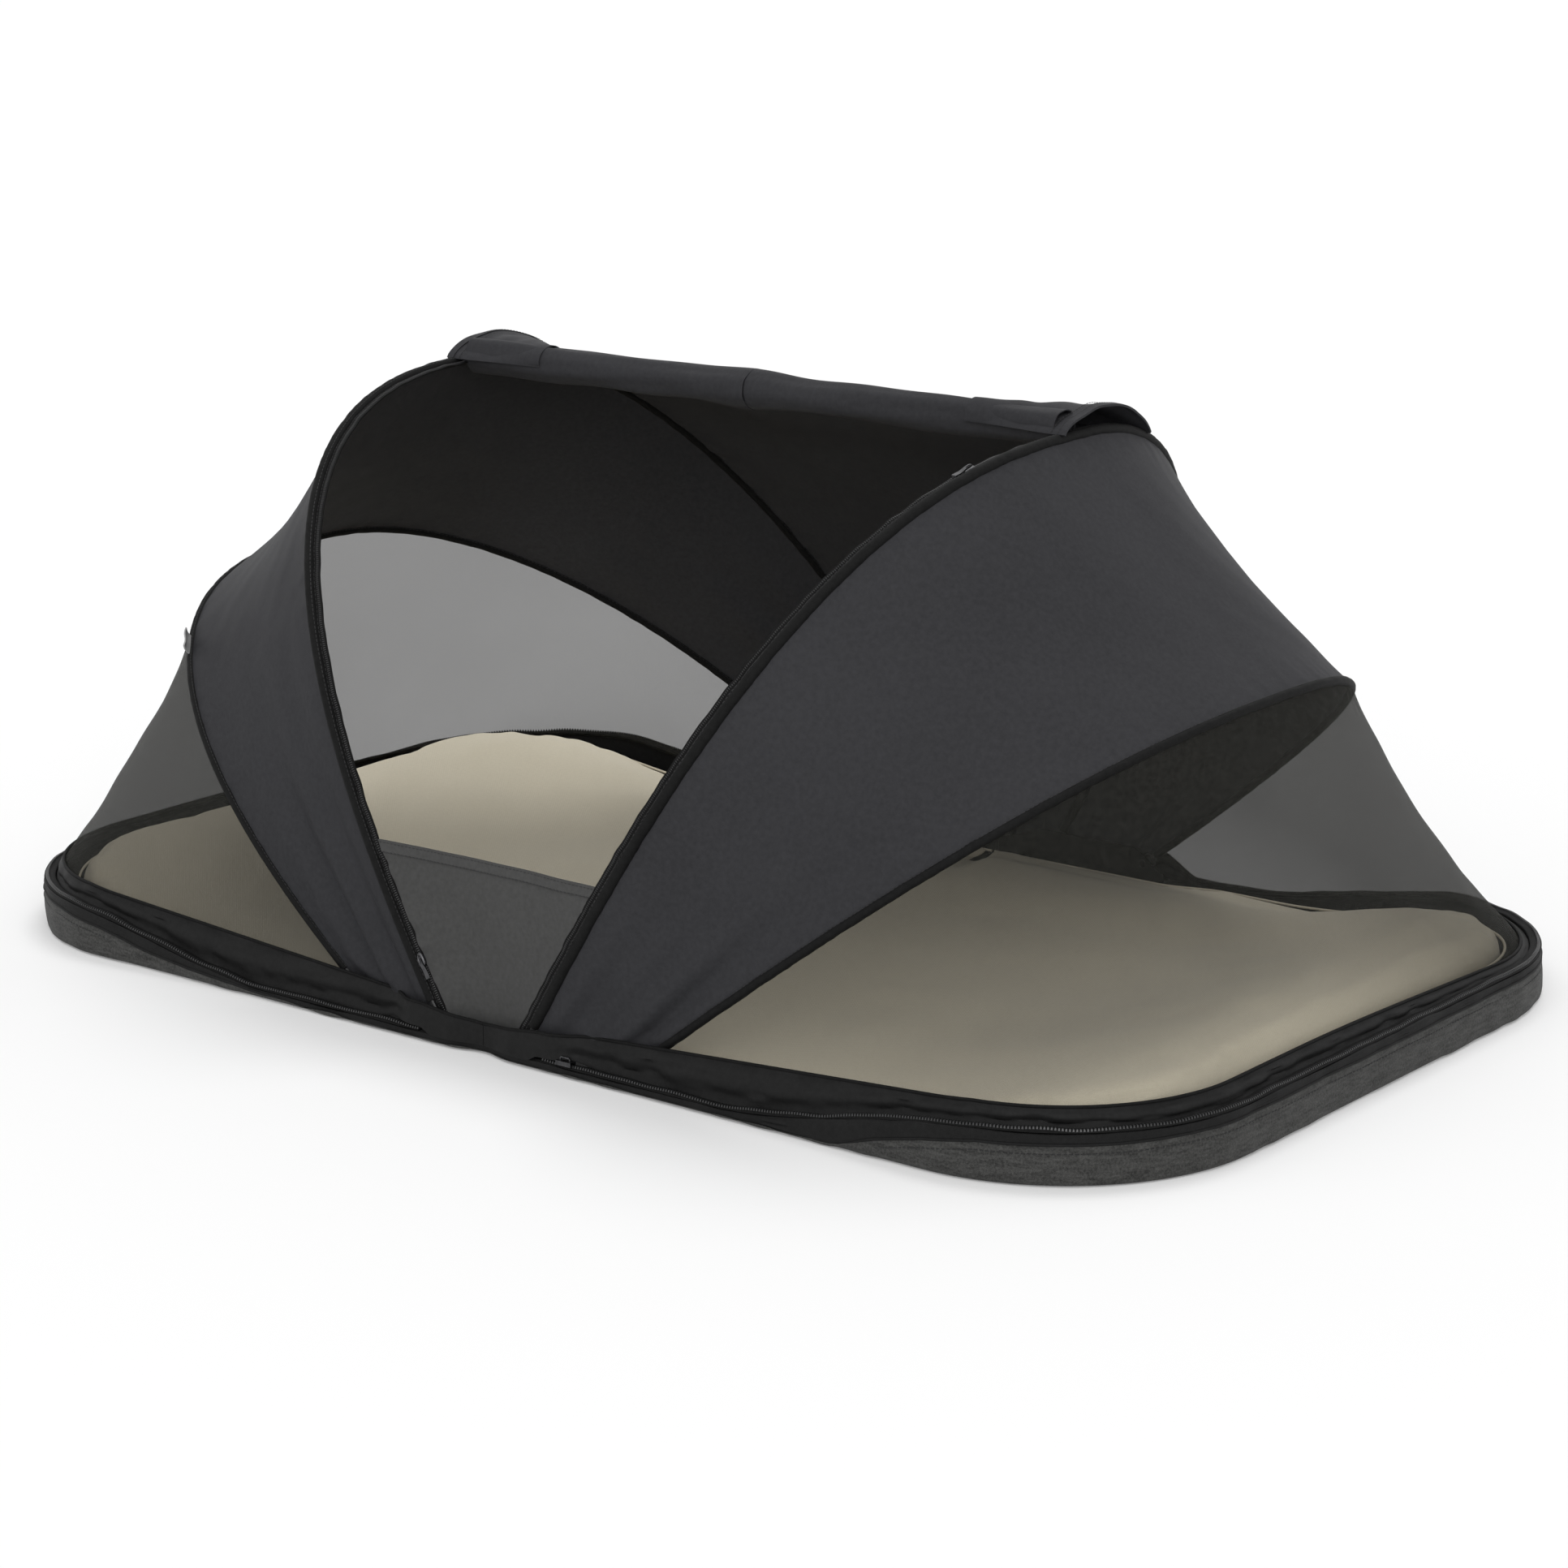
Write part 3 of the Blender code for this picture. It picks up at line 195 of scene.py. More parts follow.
def hoop_leg(hoop, end, count, start=0.0):
    """Even steps up one leg from its pivot, or from a share of its length, to the top."""
    power = hoop["square"][0 if end < 0 else 1]
    low = hoop["pivot"] / sin(hoop["lean"])
    turn = np.linspace(0, pi / 2, 4000)
    rho = hoop["reach"] * np.sin(turn) ** (2 / power)
    y = end * hoop["half_width"] * np.cos(turn) ** (2 / power)
    keep = rho >= low
    rho, y = rho[keep], y[keep]
    y[-1] = 0.0
    path = np.stack([hoop["foot"] + rho * cos(hoop["lean"]), y, rho * sin(hoop["lean"])], 1)
    s = lengths(path)
    return sample(path, s, np.linspace(start * s[-1], s[-1], count))


def hoop_line(hoop, count, start=0.0):
    return np.concatenate([hoop_leg(hoop, -1, count, start), hoop_leg(hoop, 1, count, start)[::-1][1:]])


def hoop_normal(hoop):
    return np.array([-sin(hoop["lean"]), 0.0, cos(hoop["lean"])])


def tangents(path):
    return unit(np.gradient(path, axis=0))


def squared(v, t):
    """Unit vectors of v's parts that are square to the unit vectors t."""
    return unit(v - t * np.sum(v * t, axis=-1, keepdims=True))


def square_to(path, towards):
    """Unit vectors square to a path, in the directions given."""
    return squared(towards, tangents(path))


def to_middle(path):
    """Unit vectors square to a right hoop's line, on the side of the tent's middle."""
    return square_to(path, np.broadcast_to([-1.0, 0, 0], path.shape))


def grid_normals(grid):
    along = np.gradient(grid, axis=0)
    across = np.gradient(grid, axis=1)
    return unit(np.cross(along, across))


def mirror(points, side):
    return points * np.array([side, 1.0, 1.0])


def grid_uv(grid, column=None):
    """Lengths along the middle row and the middle or another column of a grid, in metres."""
    rows, cols = grid.shape[:2]
    u = lengths(grid[:, cols // 2 if column is None else column])
    v = lengths(grid[rows // 2])
    return np.stack(np.meshgrid(u, v, indexing="ij"), 2)


# Mesh builders

def grid_quads(rows, cols):
    i, j = np.meshgrid(np.arange(rows - 1), np.arange(cols - 1), indexing="ij")
    a = (i * cols + j).ravel()
    return np.stack([a, a + 1, a + cols + 1, a + cols], 1)


def bridge(count, cols, column):
    """Faces across a base outline at one column of its grid, from its front to its back."""
    faces = []
    for k in range((count + 1) // 2 - 1):
        a, b, c, d = (row * cols + column for row in (k, k + 1, count - 2 - k, count - 1 - k))
        faces.append((a, b, c, d) if b != c else (a, b, d))
    return faces


def add_object(name, data):
    obj = bpy.data.objects.new(name, data)
    bpy.context.scene.collection.objects.link(obj)
    return obj


def add_mesh(name, verts, faces, mats, uv=None, face_mats=None, closed=True):
    """One object from arrays; closed bodies are turned to face out."""
    verts = np.asarray(verts, float).reshape(-1, 3)
    faces = [tuple(int(k) for k in face) for face in faces]
    if closed:
        volume = 0.0
        for face in faces:
            a = verts[face[0]]
            for k in range(1, len(face) - 1):
                volume += np.dot(a, np.cross(verts[face[k]], verts[face[k + 1]]))
        if volume < 0:
            faces = [face[::-1] for face in faces]
    mesh = bpy.data.meshes.new(name)
    mesh.from_pydata(verts.tolist(), [], faces)
    for mat in mats if isinstance(mats, (list, tuple)) else [mats]:
        mesh.materials.append(mat)
    if face_mats is not None:
        mesh.polygons.foreach_set("material_index", np.asarray(face_mats, np.int32))
    if uv is not None:
        layer = mesh.uv_layers.new(name="cloth")
        loops = np.zeros(len(mesh.loops), np.int32)
        mesh.loops.foreach_get("vertex_index", loops)
        layer.data.foreach_set("uv", np.asarray(uv, float).reshape(-1, 2)[loops].ravel())
    mesh.shade_smooth()
    mesh.set_sharp_from_angle(angle=radians(SHARP_ANGLE))
    return add_object(name, mesh)


def quad_volume(verts, quads):
    """Six times the volume inside a quad mesh, with its sign."""
    a, b, c, d = (verts[quads[:, k]] for k in range(4))
    return np.sum(a * (np.cross(b, c) + np.cross(c, d)))


def add_sheet(name, grid, mats, thickness, uv=None):
    """A thin closed sheet round a grid, or a single layer where the thickness is nothing."""
    rows, cols = grid.shape[:2]
    if uv is None:
        uv = grid_uv(grid)
    if not thickness:
        return add_mesh(name, grid, grid_quads(rows, cols), mats, uv, closed=False)
    n = grid_normals(grid) * thickness / 2
    verts = np.concatenate([(grid + n).reshape(-1, 3), (grid - n).reshape(-1, 3)])
    under = rows * cols
    top = grid_quads(rows, cols)
    low = top[:, ::-1] + under
    at = np.arange(under).reshape(rows, cols)
    edge = np.concatenate([at[0], at[1:, -1], at[-1, -2::-1], at[-2:0:-1, 0]])
    nxt = np.roll(edge, -1)
    rim = np.stack([edge, edge + under, nxt + under, nxt], 1)
    quads = np.concatenate([top, low, rim])
    if quad_volume(verts, quads) < 0:
        quads = quads[:, ::-1]
    uvs = np.concatenate([uv.reshape(-1, 2)] * 2)
    return add_mesh(name, verts, quads, mats, uvs, closed=False)


def add_sweep(name, rings, mats):
    """A closed ring of points carried along a path, with flat ends: rings is (path, ring, 3)."""
    rows, cols = rings.shape[:2]
    verts = rings.reshape(-1, 3)
    i, j = np.meshgrid(np.arange(rows - 1), np.arange(cols), indexing="ij")
    a = (i * cols + j).ravel()
    b = (i * cols + (j + 1) % cols).ravel()
    quads = np.stack([a, b, b + cols, a + cols], 1)
    if quad_volume(verts, quads) < 0:
        quads = quads[:, ::-1]
        caps = [tuple(range(cols)), tuple(range((rows - 1) * cols, rows * cols))[::-1]]
    else:
        caps = [tuple(range(cols))[::-1], tuple(range((rows - 1) * cols, rows * cols))]
    return add_mesh(name, verts, quads.tolist() + caps, mats, grid_uv(rings, 0), closed=False)


def tube_rings(path, normal, radius, sides):
    """Round rings along a path; the radius may change along it."""
    t = tangents(path)
    side = unit(np.cross(np.broadcast_to(normal, t.shape), t))
    up = unit(np.cross(t, side))
    a = 2 * pi * np.arange(sides) / sides
    if np.ndim(radius) < 2:
        radius = np.reshape(radius, (-1, 1))
    radius = np.broadcast_to(radius, (len(path), sides))
    return (path[:, None] + side[:, None] * (radius * np.cos(a))[..., None]
            + up[:, None] * (radius * np.sin(a))[..., None])


def block_row(path, up, pitch, long, wide, high):
    """Vertices and faces of small rounded blocks set along a path: stitches or zip teeth."""
    s = lengths(path)
    count = max(2, int(s[-1] / pitch))
    at = (np.arange(count) + 0.5) * s[-1] / count
    centre = sample(path, s, at)
    t = unit(sample(tangents(path), s, at))
    u = squared(sample(up, s, at), t)
    w = np.cross(t, u)
    corners = [(-1, -1, 0), (1, -1, 0), (1, 1, 0), (-1, 1, 0),
               (-0.6, -0.6, 1), (0.6, -0.6, 1), (0.6, 0.6, 1), (-0.6, 0.6, 1)]
    verts = []
    for a, b, c in corners:
        verts.append(centre + t * a * long / 2 + w * b * wide / 2 + u * (c * high - 0.25 * high))
    verts = np.stack(verts, 1).reshape(-1, 3)
    base = np.array([(3, 2, 1, 0), (4, 5, 6, 7), (0, 1, 5, 4), (1, 2, 6, 5), (2, 3, 7, 6), (3, 0, 4, 7)])
    faces = (base[None] + 8 * np.arange(len(at))[:, None, None]).reshape(-1, 4)
    if quad_volume(verts[:8], base) < 0:
        faces = faces[:, ::-1]
    return verts, faces


def add_blocks(name, rows, mats):
    """Several rows of blocks as one object."""
    shifts = np.cumsum([0] + [len(verts) for verts, _ in rows])
    faces = np.concatenate([faces + shift for (_, faces), shift in zip(rows, shifts)])
    return add_mesh(name, np.concatenate([verts for verts, _ in rows]), faces, mats, closed=False)


# Materials

def add_node(tree, kind, *values, **named):
    """A node with inputs, in their order or by name, set to values or linked to other outputs."""
    node = tree.nodes.new("ShaderNode" + kind)
    sockets = list(zip(node.inputs, values))
    sockets += [(node.inputs[name.replace("_", " ")], value) for name, value in named.items()]
    for socket, value in sockets:
        if isinstance(value, bpy.types.NodeSocket):
            tree.links.new(value, socket)
        elif value is not None:
            socket.default_value = value
    return node


def math_node(tree, operation, *values):
    node = add_node(tree, "Math", *values)
    node.operation = operation
    return node.outputs[0]


class Shader:
    """A Principled material whose colour, roughness and bump come from nodes."""

    def __init__(self, name, roughness, specular=0.5, metallic=0.0, sheen=0.0):
        self.mat = bpy.data.materials.new(name)
        self.mat.use_nodes = True
        self.tree = self.mat.node_tree
        self.shader = self.tree.nodes["Principled BSDF"]
        for socket, value in (("Roughness", roughness), ("Specular IOR Level", specular),
                              ("Metallic", metallic)):
            self.shader.inputs[socket].default_value = value
        if sheen:
            self.shader.inputs["Sheen Weight"].default_value = sheen
            self.shader.inputs["Sheen Roughness"].default_value = 0.4
        self.coords = self.node("TexCoord").outputs["Object"]
        uv = self.node("UVMap")
        uv.uv_map = "cloth"
        self.uv = uv.outputs[0]

    def node(self, kind, *values, **named):
        return add_node(self.tree, kind, *values, **named)

    def give(self, socket, value):
        self.tree.links.new(value, self.shader.inputs[socket])

    def math(self, operation, *values):
        return math_node(self.tree, operation, *values)

    def blend(self, a, b, share):
        return self.math("ADD", self.math("MULTIPLY", a, share), self.math("MULTIPLY", b, 1 - share))

    def noise(self, scale, detail=2.0, rough=0.5, stretch=None):
        source = self.node("Mapping", self.coords, Scale=stretch).outputs[0] if stretch else self.coords
        return self.node("TexNoise", source, Scale=scale, Detail=detail, Roughness=rough).outputs["Fac"]

    def ramp(self, value, low, high, dark, light):
        """Colours between two ends, each three numbers or one for a grey."""
        node = self.node("ValToRGB", value)
        first, last = node.color_ramp.elements
        first.position, last.position = low, high
        for element, colour in ((first, dark), (last, light)):
            rgb = colour if isinstance(colour, tuple) else (colour,) * 3
            element.color = (*rgb, 1)
        return node.outputs[0]

    def spread(self, value, start, end, low, high):
        """A value's run from start to end, carried over to low and high."""
        return self.node("MapRange", value, From_Min=start, From_Max=end, To_Min=low, To_Max=high).outputs[0]

    def waves(self, pitch):
        """Sine waves along and across the cloth, from its own metre-scaled map."""
        split = self.node("SeparateXYZ", self.uv)
        angles = [self.math("MULTIPLY", split.outputs[axis], 2 * pi / pitch) for axis in (0, 1)]
        return [self.math("SINE", angle) for angle in angles]

    def weave(self, pitch):
        """Threads over and under: 0 to 1."""
        return self.math("MULTIPLY_ADD", self.math("MULTIPLY", *self.waves(pitch)), 0.5)

    def bump(self, height, distance, strength=1.0, under=None):
        return self.node("Bump", Distance=distance, Strength=strength, Height=height, Normal=under).outputs[0]


def cloth_material(name, dark, light, weave, roughness, mottle=260.0, bump=0.00012, specular=0.4):
    """Woven cloth: fine threads, faint mottling, broad soft shifts and small creases."""
    m = Shader(name, roughness, specular)
    broad = m.noise(7.0, 2.0)
    tone = m.blend(m.noise(mottle, 3.0, 0.6), broad, 0.6)
    m.give("Base Color", m.ramp(tone, 0.32, 0.68, dark, light))
    m.give("Roughness", m.spread(broad, 0, 1, roughness - 0.06, roughness + 0.08))
    low = m.bump(m.noise(34.0, 4.0, 0.55), 0.0006, 0.35)
    m.give("Normal", m.bump(m.weave(weave), bump, 0.5, low))
    return m.mat


def heather_material(name):
    """Melange cloth of dark and pale grey yarns, with slubs along the thread."""
    m = Shader(name, 0.92, 0.25, sheen=0.08)
    slubs = m.noise(160.0, 3.0, 0.65, stretch=(0.35, 0.35, 2.2))
    tone = m.blend(m.noise(620.0, 2.0, 0.7), slubs, 0.55)
    m.give("Base Color", m.ramp(tone, 0.36, 0.66, (0.022, 0.022, 0.021), (0.075, 0.075, 0.072)))
    m.give("Normal", m.bump(m.weave(0.0011), 0.00025, 0.7, m.bump(slubs, 0.0006, 0.5)))
    return m.mat


NET_PITCH, NET_HOLES, NET_PASSES = 0.0012, 0.32, 0.86
# Painted light: its cover goes from 0.88 to 0.50 as this direction's reach goes from 0.25 to 0.55, set by
# position alone, so the view through it is lighter low on the right front
NET_PAINTED_LIGHT_WAY = (1.0, -1.2, -1.5)
NET_PAINTED_LIGHT = (0.25, 0.55, 0.88, 0.50)


def net_material(name):
    """Fine insect mesh: thread crossings stay, the holes between them let light through.

    Its threads pass on much of the light that falls on them, so it dims sight more than light.
    It is made most open low on the right front by position alone, so the view through it is clearest and
    lightest there: painted light.
    """
    m = Shader(name, 0.75, 0.06)
    holes = m.math("MULTIPLY", *[m.math("ABSOLUTE", wave) for wave in m.waves(NET_PITCH)])
    place = m.node("VectorMath", m.coords, NET_PAINTED_LIGHT_WAY)
    place.operation = "DOT_PRODUCT"
    # painted light: the cover is thinned by position alone towards the low right front
    painted_light_cover = m.spread(place.outputs["Value"], *NET_PAINTED_LIGHT)
    cover = m.math("SUBTRACT", painted_light_cover, m.math("MULTIPLY", holes, NET_HOLES))
    uneven = m.math("SUBTRACT", m.noise(5.0, 2.0), 0.5)
    cover = m.math("ADD", cover, m.math("MULTIPLY", uneven, 0.05))
    path = m.node("LightPath")
    lit = m.math("MAXIMUM", path.outputs["Is Shadow Ray"], path.outputs["Is Diffuse Ray"])
    cover = m.math("MULTIPLY", cover, m.math("SUBTRACT", 1.0, m.math("MULTIPLY", lit, NET_PASSES)))
    m.give("Alpha", cover)
    m.give("Base Color", m.ramp(m.noise(300.0, 2.0), 0.3, 0.7, (0.014, 0.014, 0.012), (0.026, 0.026, 0.023)))
    return m.mat


def quilt_material(name):
    """Warm beige mattress cover with a fine knit and a soft mottle."""
    m = Shader(name, 0.88, 0.3, sheen=0.15)
    tone = m.blend(m.noise(420.0, 3.0, 0.6), m.noise(5.0, 2.0), 0.5)
    m.give("Base Color", m.ramp(tone, 0.32, 0.68, (0.60, 0.545, 0.42), (0.67, 0.61, 0.475)))
    low = m.bump(m.noise(26.0, 4.0, 0.5), 0.0012, 0.35)
    m.give("Normal", m.bump(m.weave(0.0016), 0.0003, 0.5, low))
    return m.mat


def hard_material(name, dark, light, roughness, metallic=0.0, grain=900.0):
    """Moulded plastic, fibreglass or metal with a fine grain and handling wear."""
    m = Shader(name, roughness, metallic=metallic)
    fine, broad = m.noise(grain, 2.0, 0.6), m.noise(40.0, 3.0)
    m.give("Base Color", m.ramp(m.blend(fine, broad, 0.5), 0.3, 0.7, dark, light))
    m.give("Roughness", m.spread(broad, 0, 1, roughness - 0.08, roughness + 0.1))
    m.give("Normal", m.bump(fine, 0.00008, 0.6))
    return m.mat


MAT = {
    "heather": heather_material("heather_base_fabric"),
    "binding": cloth_material("rim_binding", 0.005, 0.011, 0.0009, 0.62, 300.0, 0.0002, 0.14),
    "band": cloth_material("black_band_fabric", 0.006, 0.012, 0.0007, 0.58, specular=0.14),
    "canopy": cloth_material("canopy_fabric", (0.030, 0.030, 0.0325), (0.041, 0.041, 0.0445), 0.0006, 0.52,
                             specular=0.04),
    "sill": cloth_material("sill_fabric", (0.050, 0.050, 0.049), (0.068, 0.068, 0.067), 0.0006, 0.60,
                           specular=0.10),
    "sleeve": cloth_material("sleeve_fabric", 0.004, 0.009, 0.0008, 0.66, bump=0.00025, specular=0.10),
    "tape": cloth_material("zip_tape", 0.004, 0.009, 0.0010, 0.70, bump=0.0003, specular=0.10),
    "thread": cloth_material("stitch_thread", 0.018, (0.034, 0.034, 0.035), 0.0005, 0.55, specular=0.2),
    "net": net_material("mosquito_mesh"),
    "mattress": quilt_material("mattress_cover"),
    "piping": cloth_material("mattress_piping", (0.57, 0.515, 0.40), (0.65, 0.59, 0.47), 0.0008, 0.85),
    "tag": cloth_material("tag_ribbon", 0.24, 0.32, 0.0005, 0.6),
    "teeth": hard_material("zip_teeth", 0.010, (0.024, 0.024, 0.025), 0.34),
    "rod": hard_material("fibreglass_rod", 0.020, (0.045, 0.045, 0.046), 0.36),
    "plastic": hard_material("bracket_plastic", 0.012, 0.026, 0.46),
    "steel": hard_material("rivet_steel", (0.035, 0.035, 0.036), (0.075, 0.075, 0.078), 0.42, 1.0, 300.0),
    "slider": hard_material("slider_metal", (0.05, 0.05, 0.052), (0.12, 0.12, 0.125), 0.32, 1.0, 300.0),
    "board": hard_material("floor_board", 0.022, 0.040, 0.75),
}
KEPT = (("floor_board", "board"), ("bracket", "plastic"), ("rivet", "steel"), ("fold_pin", "steel"),
        ("slider", "slider"), ("hoop", "rod"))

for name, obj in nodes.items():
    found = [mat for key, mat in KEPT if key in name]
    for slot in obj.material_slots if found else ():
        slot.material = MAT[found[0]]


# Cloth panels

def drape(grid, uv, side, seed, broad, broad_size, pucker, edges, pucker_size=0.020, reach=0.014):
    """Waves that fade at the seams, and small gathers that fade away from them.

    edges says which sides of the grid are sewn: row start, row end, column start, column end.
    """
    signed = mirror(grid, side)
    n = grid_normals(grid)
    rows, cols = grid.shape[:2]
    far = np.full((rows, cols), 1.0)
    gather = np.zeros((rows, cols))
    u, v = uv[..., 0], uv[..., 1]
    spots = ((u, v), (u[-1:] - u, v), (v, u), (v[:, -1:] - v, u))
    for k, (away, along) in enumerate(spots):
        if not edges[k]:
            continue
        far = np.minimum(far, away)
        line = wander(along * side, pucker_size, seed + 11 * k, 14)
        gather += line * np.exp(-away / reach) * np.clip(away / 0.004, 0, 1)
    fade = ease(far / 0.05)
    waves = ripple(signed, broad_size, seed) * broad * fade
    fine = ripple(signed, broad_size / 3.2, seed + 5) * broad * 0.22 * fade
    return grid + n * (waves + fine + gather * pucker)[..., None]


def panel_between(a, b, cols):
    return a[:, None] + (b - a)[:, None] * np.linspace(0, 1, cols)[None, :, None]


def follow_hoop(obj, half, hoop):
    """Rides on the hoop, with a mesh of its own."""
    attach(obj, half + "_" + hoop["body"])
    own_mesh(obj)


def hoop_cloth(half, hoop, name, node, grid, uv, cloth):
    """A thin sheet of canopy or sill cloth that follows a hoop, in place of a CAD node."""
    obj = add_sheet(half + name, grid, MAT[cloth], CLOTH, uv)
    if node:
        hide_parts(half + node)
    follow_hoop(obj, half, hoop)


def sew(half, name, rows):
    """Stitches on the door's cloths."""
    follow_hoop(add_blocks(half + name, rows, MAT["thread"]), half, DOOR)


def door_hem(half, name, grid, out, uv, cloth, size, seams, seam_lift):
    """A doubled hem along a sheet's last edge, and its rows of stitches; size: depth, lift, thickness."""
    deep, lift, thick = size
    edge = uv[-1, 0, 0]
    keep = uv[:, 0, 0] > edge - deep
    hem = add_sheet(half + name + "_hem", grid[keep] + out[keep] * lift, MAT[cloth], thick, uv[keep])
    follow_hoop(hem, half, DOOR)
    rows = []
    for seam in seams:
        k = int(np.argmin(np.abs(uv[:, 0, 0] - (edge - seam))))
        rows.append(block_row(grid[k] + out[k] * seam_lift, out[k], *STITCH))
    sew(half, name + "_stitches", rows)


def ride_base(obj, half, press=None):
    """Rides on a base half; cloth given a press gets a mesh of its own, though the press's height and share
    are not used.
    """
    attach(obj, half + "_base")
    if press:
        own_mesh(obj)


def canopy(half, side):
    ends = hoop_line(END, HOOP_STATIONS, END["start"])
    doors = hoop_line(DOOR, HOOP_STATIONS, DOOR["start"])
    across = doors - ends
    a = ends + square_to(ends, across) * (END["sleeve"] - END_TUCK)
    b = doors + square_to(doors, -across) * (DOOR["sleeve"] - DOOR_TUCK)
    cols = 56
    grid = panel_between(a, b, cols)
    share = np.linspace(0, 1, len(a))[:, None]
    v = np.linspace(0, 1, cols)[None]
    inward = unit(np.array([0.0, 0.0, 0.10]) - grid)
    low = np.clip(1 - 4 * np.minimum(share, 1 - share), 0, 1)
    hollow = 4 * v * (1 - v) * 0.010 * np.sin(pi * share)
    rng = np.random.default_rng(40 + side)
    folds = np.zeros_like(low * v)
    for k in range(4):
        turn = rng.uniform(1.2, 3.6)
        reach = 1 + 0.6 * np.sin(2 * pi * v * rng.uniform(0.5, 1.5) + rng.uniform(0, 6.3))
        folds += np.sin(2 * pi * turn * v + rng.uniform(0, 6.3)) * (0.9 - 0.15 * k) * low ** reach
    folds *= 0.0024 * np.clip(4 * v * (1 - v) * 2, 0, 1) * ease(share / 0.02) * ease((1 - share) / 0.02)
    grid = grid + inward * (hollow + folds)[..., None]
    uv = grid_uv(grid)
    grid = drape(grid, uv, side, 300 + side, 0.0011, 0.16, 0.00035, (0, 0, 1, 1))
    hoop_cloth(half, END, "_canopy", "_canopy_panel", mirror(grid, side), uv, "canopy")


def end_mesh(half, side):
    tops = hoop_line(END, HOOP_STATIONS, END["start"])
    x_start = tops[0, 0] + 0.020
    plan = outline(BAND_INSET + BAND_LEAN + 0.0008, x_start)
    path = np.column_stack([plan, band_high(outline(0.0, x_start)) - 0.0015])
    feet = resample(path, len(tops))
    a = tops + square_to(tops, feet - tops) * (END["sleeve"] - MESH_TUCK)
    cols = 60
    grid = panel_between(a, feet, cols)
    share = np.linspace(0, 1, len(a))[:, None]
    v = np.linspace(0, 1, cols)[None]
    inward = unit(np.array([0.0, 0.0, 0.05]) - grid)
    grid = grid + inward * (4 * v * (1 - v) * 0.004 * np.sin(pi * share))[..., None]
    uv = grid_uv(grid)
    grid = drape(grid, uv, side, 500 + side, 0.0011, 0.12, 0.0005, (0, 0, 1, 1), 0.03, 0.02)
    grid = mirror(grid, side)
    obj = add_sheet(half + "_insect_mesh", grid, MAT["net"], 0.0, uv)
    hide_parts(half + "_end_mesh")
    ride_base(obj, half, MESH_PRESS)


def span_to_middle(points, starts, sag, cols):
    """Cloth from a hoop to the tent's middle, where the two halves just lap."""
    goal = starts.copy()
    goal[:, 0] = -SEAM_LAP
    inward = unit(np.column_stack([np.zeros(len(points)), -points[:, 1], 0.12 - points[:, 2]]))
    v = np.linspace(0, 1, cols)[None]
    deep = np.broadcast_to(sag, len(points))[:, None]
    return panel_between(starts, goal, cols) + inward[:, None] * (deep * (1 - (1 - v) ** 2))[..., None]


def drop_foot(grid, uv):
    """Draws the cloth's foot down towards the tent's middle."""
    drop = np.linspace(0, 1, grid.shape[1])[None] ** 0.5 * (1 - ease(uv[..., 0] / 0.03))
    grid[..., 2] -= SILL_DROP * drop


def roof(half, side):
    back = hoop_leg(DOOR, 1, 170, DOOR["start"])
    back = back[back[:, 1] > 0.0010]
    sag = 0.012 * (1 - 0.85 * ease((lengths(back) / lengths(back)[-1] - 0.78) / 0.20))
    starts = back + to_middle(back) * (DOOR["sleeve"] - DOOR_TUCK)
    grid = span_to_middle(back, starts, sag, 50)
    uv = grid_uv(grid)
    drop_foot(grid, uv)
    signed = mirror(grid, side)
    away = uv[..., 1]
    waves = ripple(signed, 0.15, 71) * 0.0018 + ripple(signed, 0.05, 72) * 0.0004
    gathers = wander(uv[..., 0], 0.022, 73 + side, 14) * np.exp(-away / 0.016) * 0.0004
    share = np.linspace(0, 1, len(back))[:, None]
    feet = np.clip(1 - 3 * share, 0, 1) * np.sin(away * 60 + 1.0) * 0.0018
    grid = grid + grid_normals(grid) * ((waves + feet) * ease(away / 0.05) + gathers)[..., None]
    hoop_cloth(half, DOOR, "_roof", "_roof_panel", mirror(grid, side), uv, "canopy")


def sill(half, side):
    front = hoop_leg(DOOR, -1, 400, DOOR["start"])
    front = resample(front[front[:, 2] < SILL_TOP], 70)
    starts = front + to_middle(front) * (DOOR["sleeve"] + ZIP_WIDTH - SILL_TUCK)
    grid = span_to_middle(front, starts, 0.006, 44)
    uv = grid_uv(grid)
    n = grid_normals(grid)
    signed = mirror(grid, side)
    away = uv[..., 1]
    drop_foot(grid, uv)
    waves = ripple(signed, 0.11, 81) * 0.0016 + ripple(signed, 0.04, 82) * 0.0003
    gathers = wander(uv[..., 0], 0.02, 83 + side, 14) * np.exp(-away / 0.012) * 0.0004
    hang = np.sin(away * 55 + 0.6) * 0.0015 * np.clip((uv[..., 0] - (uv[-1, 0, 0] - 0.05)) / 0.05, 0, 1)
    grid = mirror(grid + n * ((waves + hang) * ease(away / 0.03) + gathers)[..., None], side)
    hoop_cloth(half, DOOR, "_door_sill_cloth", "_door_sill", grid, uv, "sill")
    out = grid_normals(grid)
    out = out * np.sign(-out[..., 1:2])
    door_hem(half, "_sill", grid, out, uv, "sill", (0.0095, 0.0011, HEM_CLOTH),
             (0.0015, 0.0080), 0.0017)


def zip_line():
    """The door hoop's front leg where its zip runs, and the directions from it to the middle."""
    front = hoop_leg(DOOR, -1, 400, DOOR["start"])[:-14]
    return front, to_middle(front)


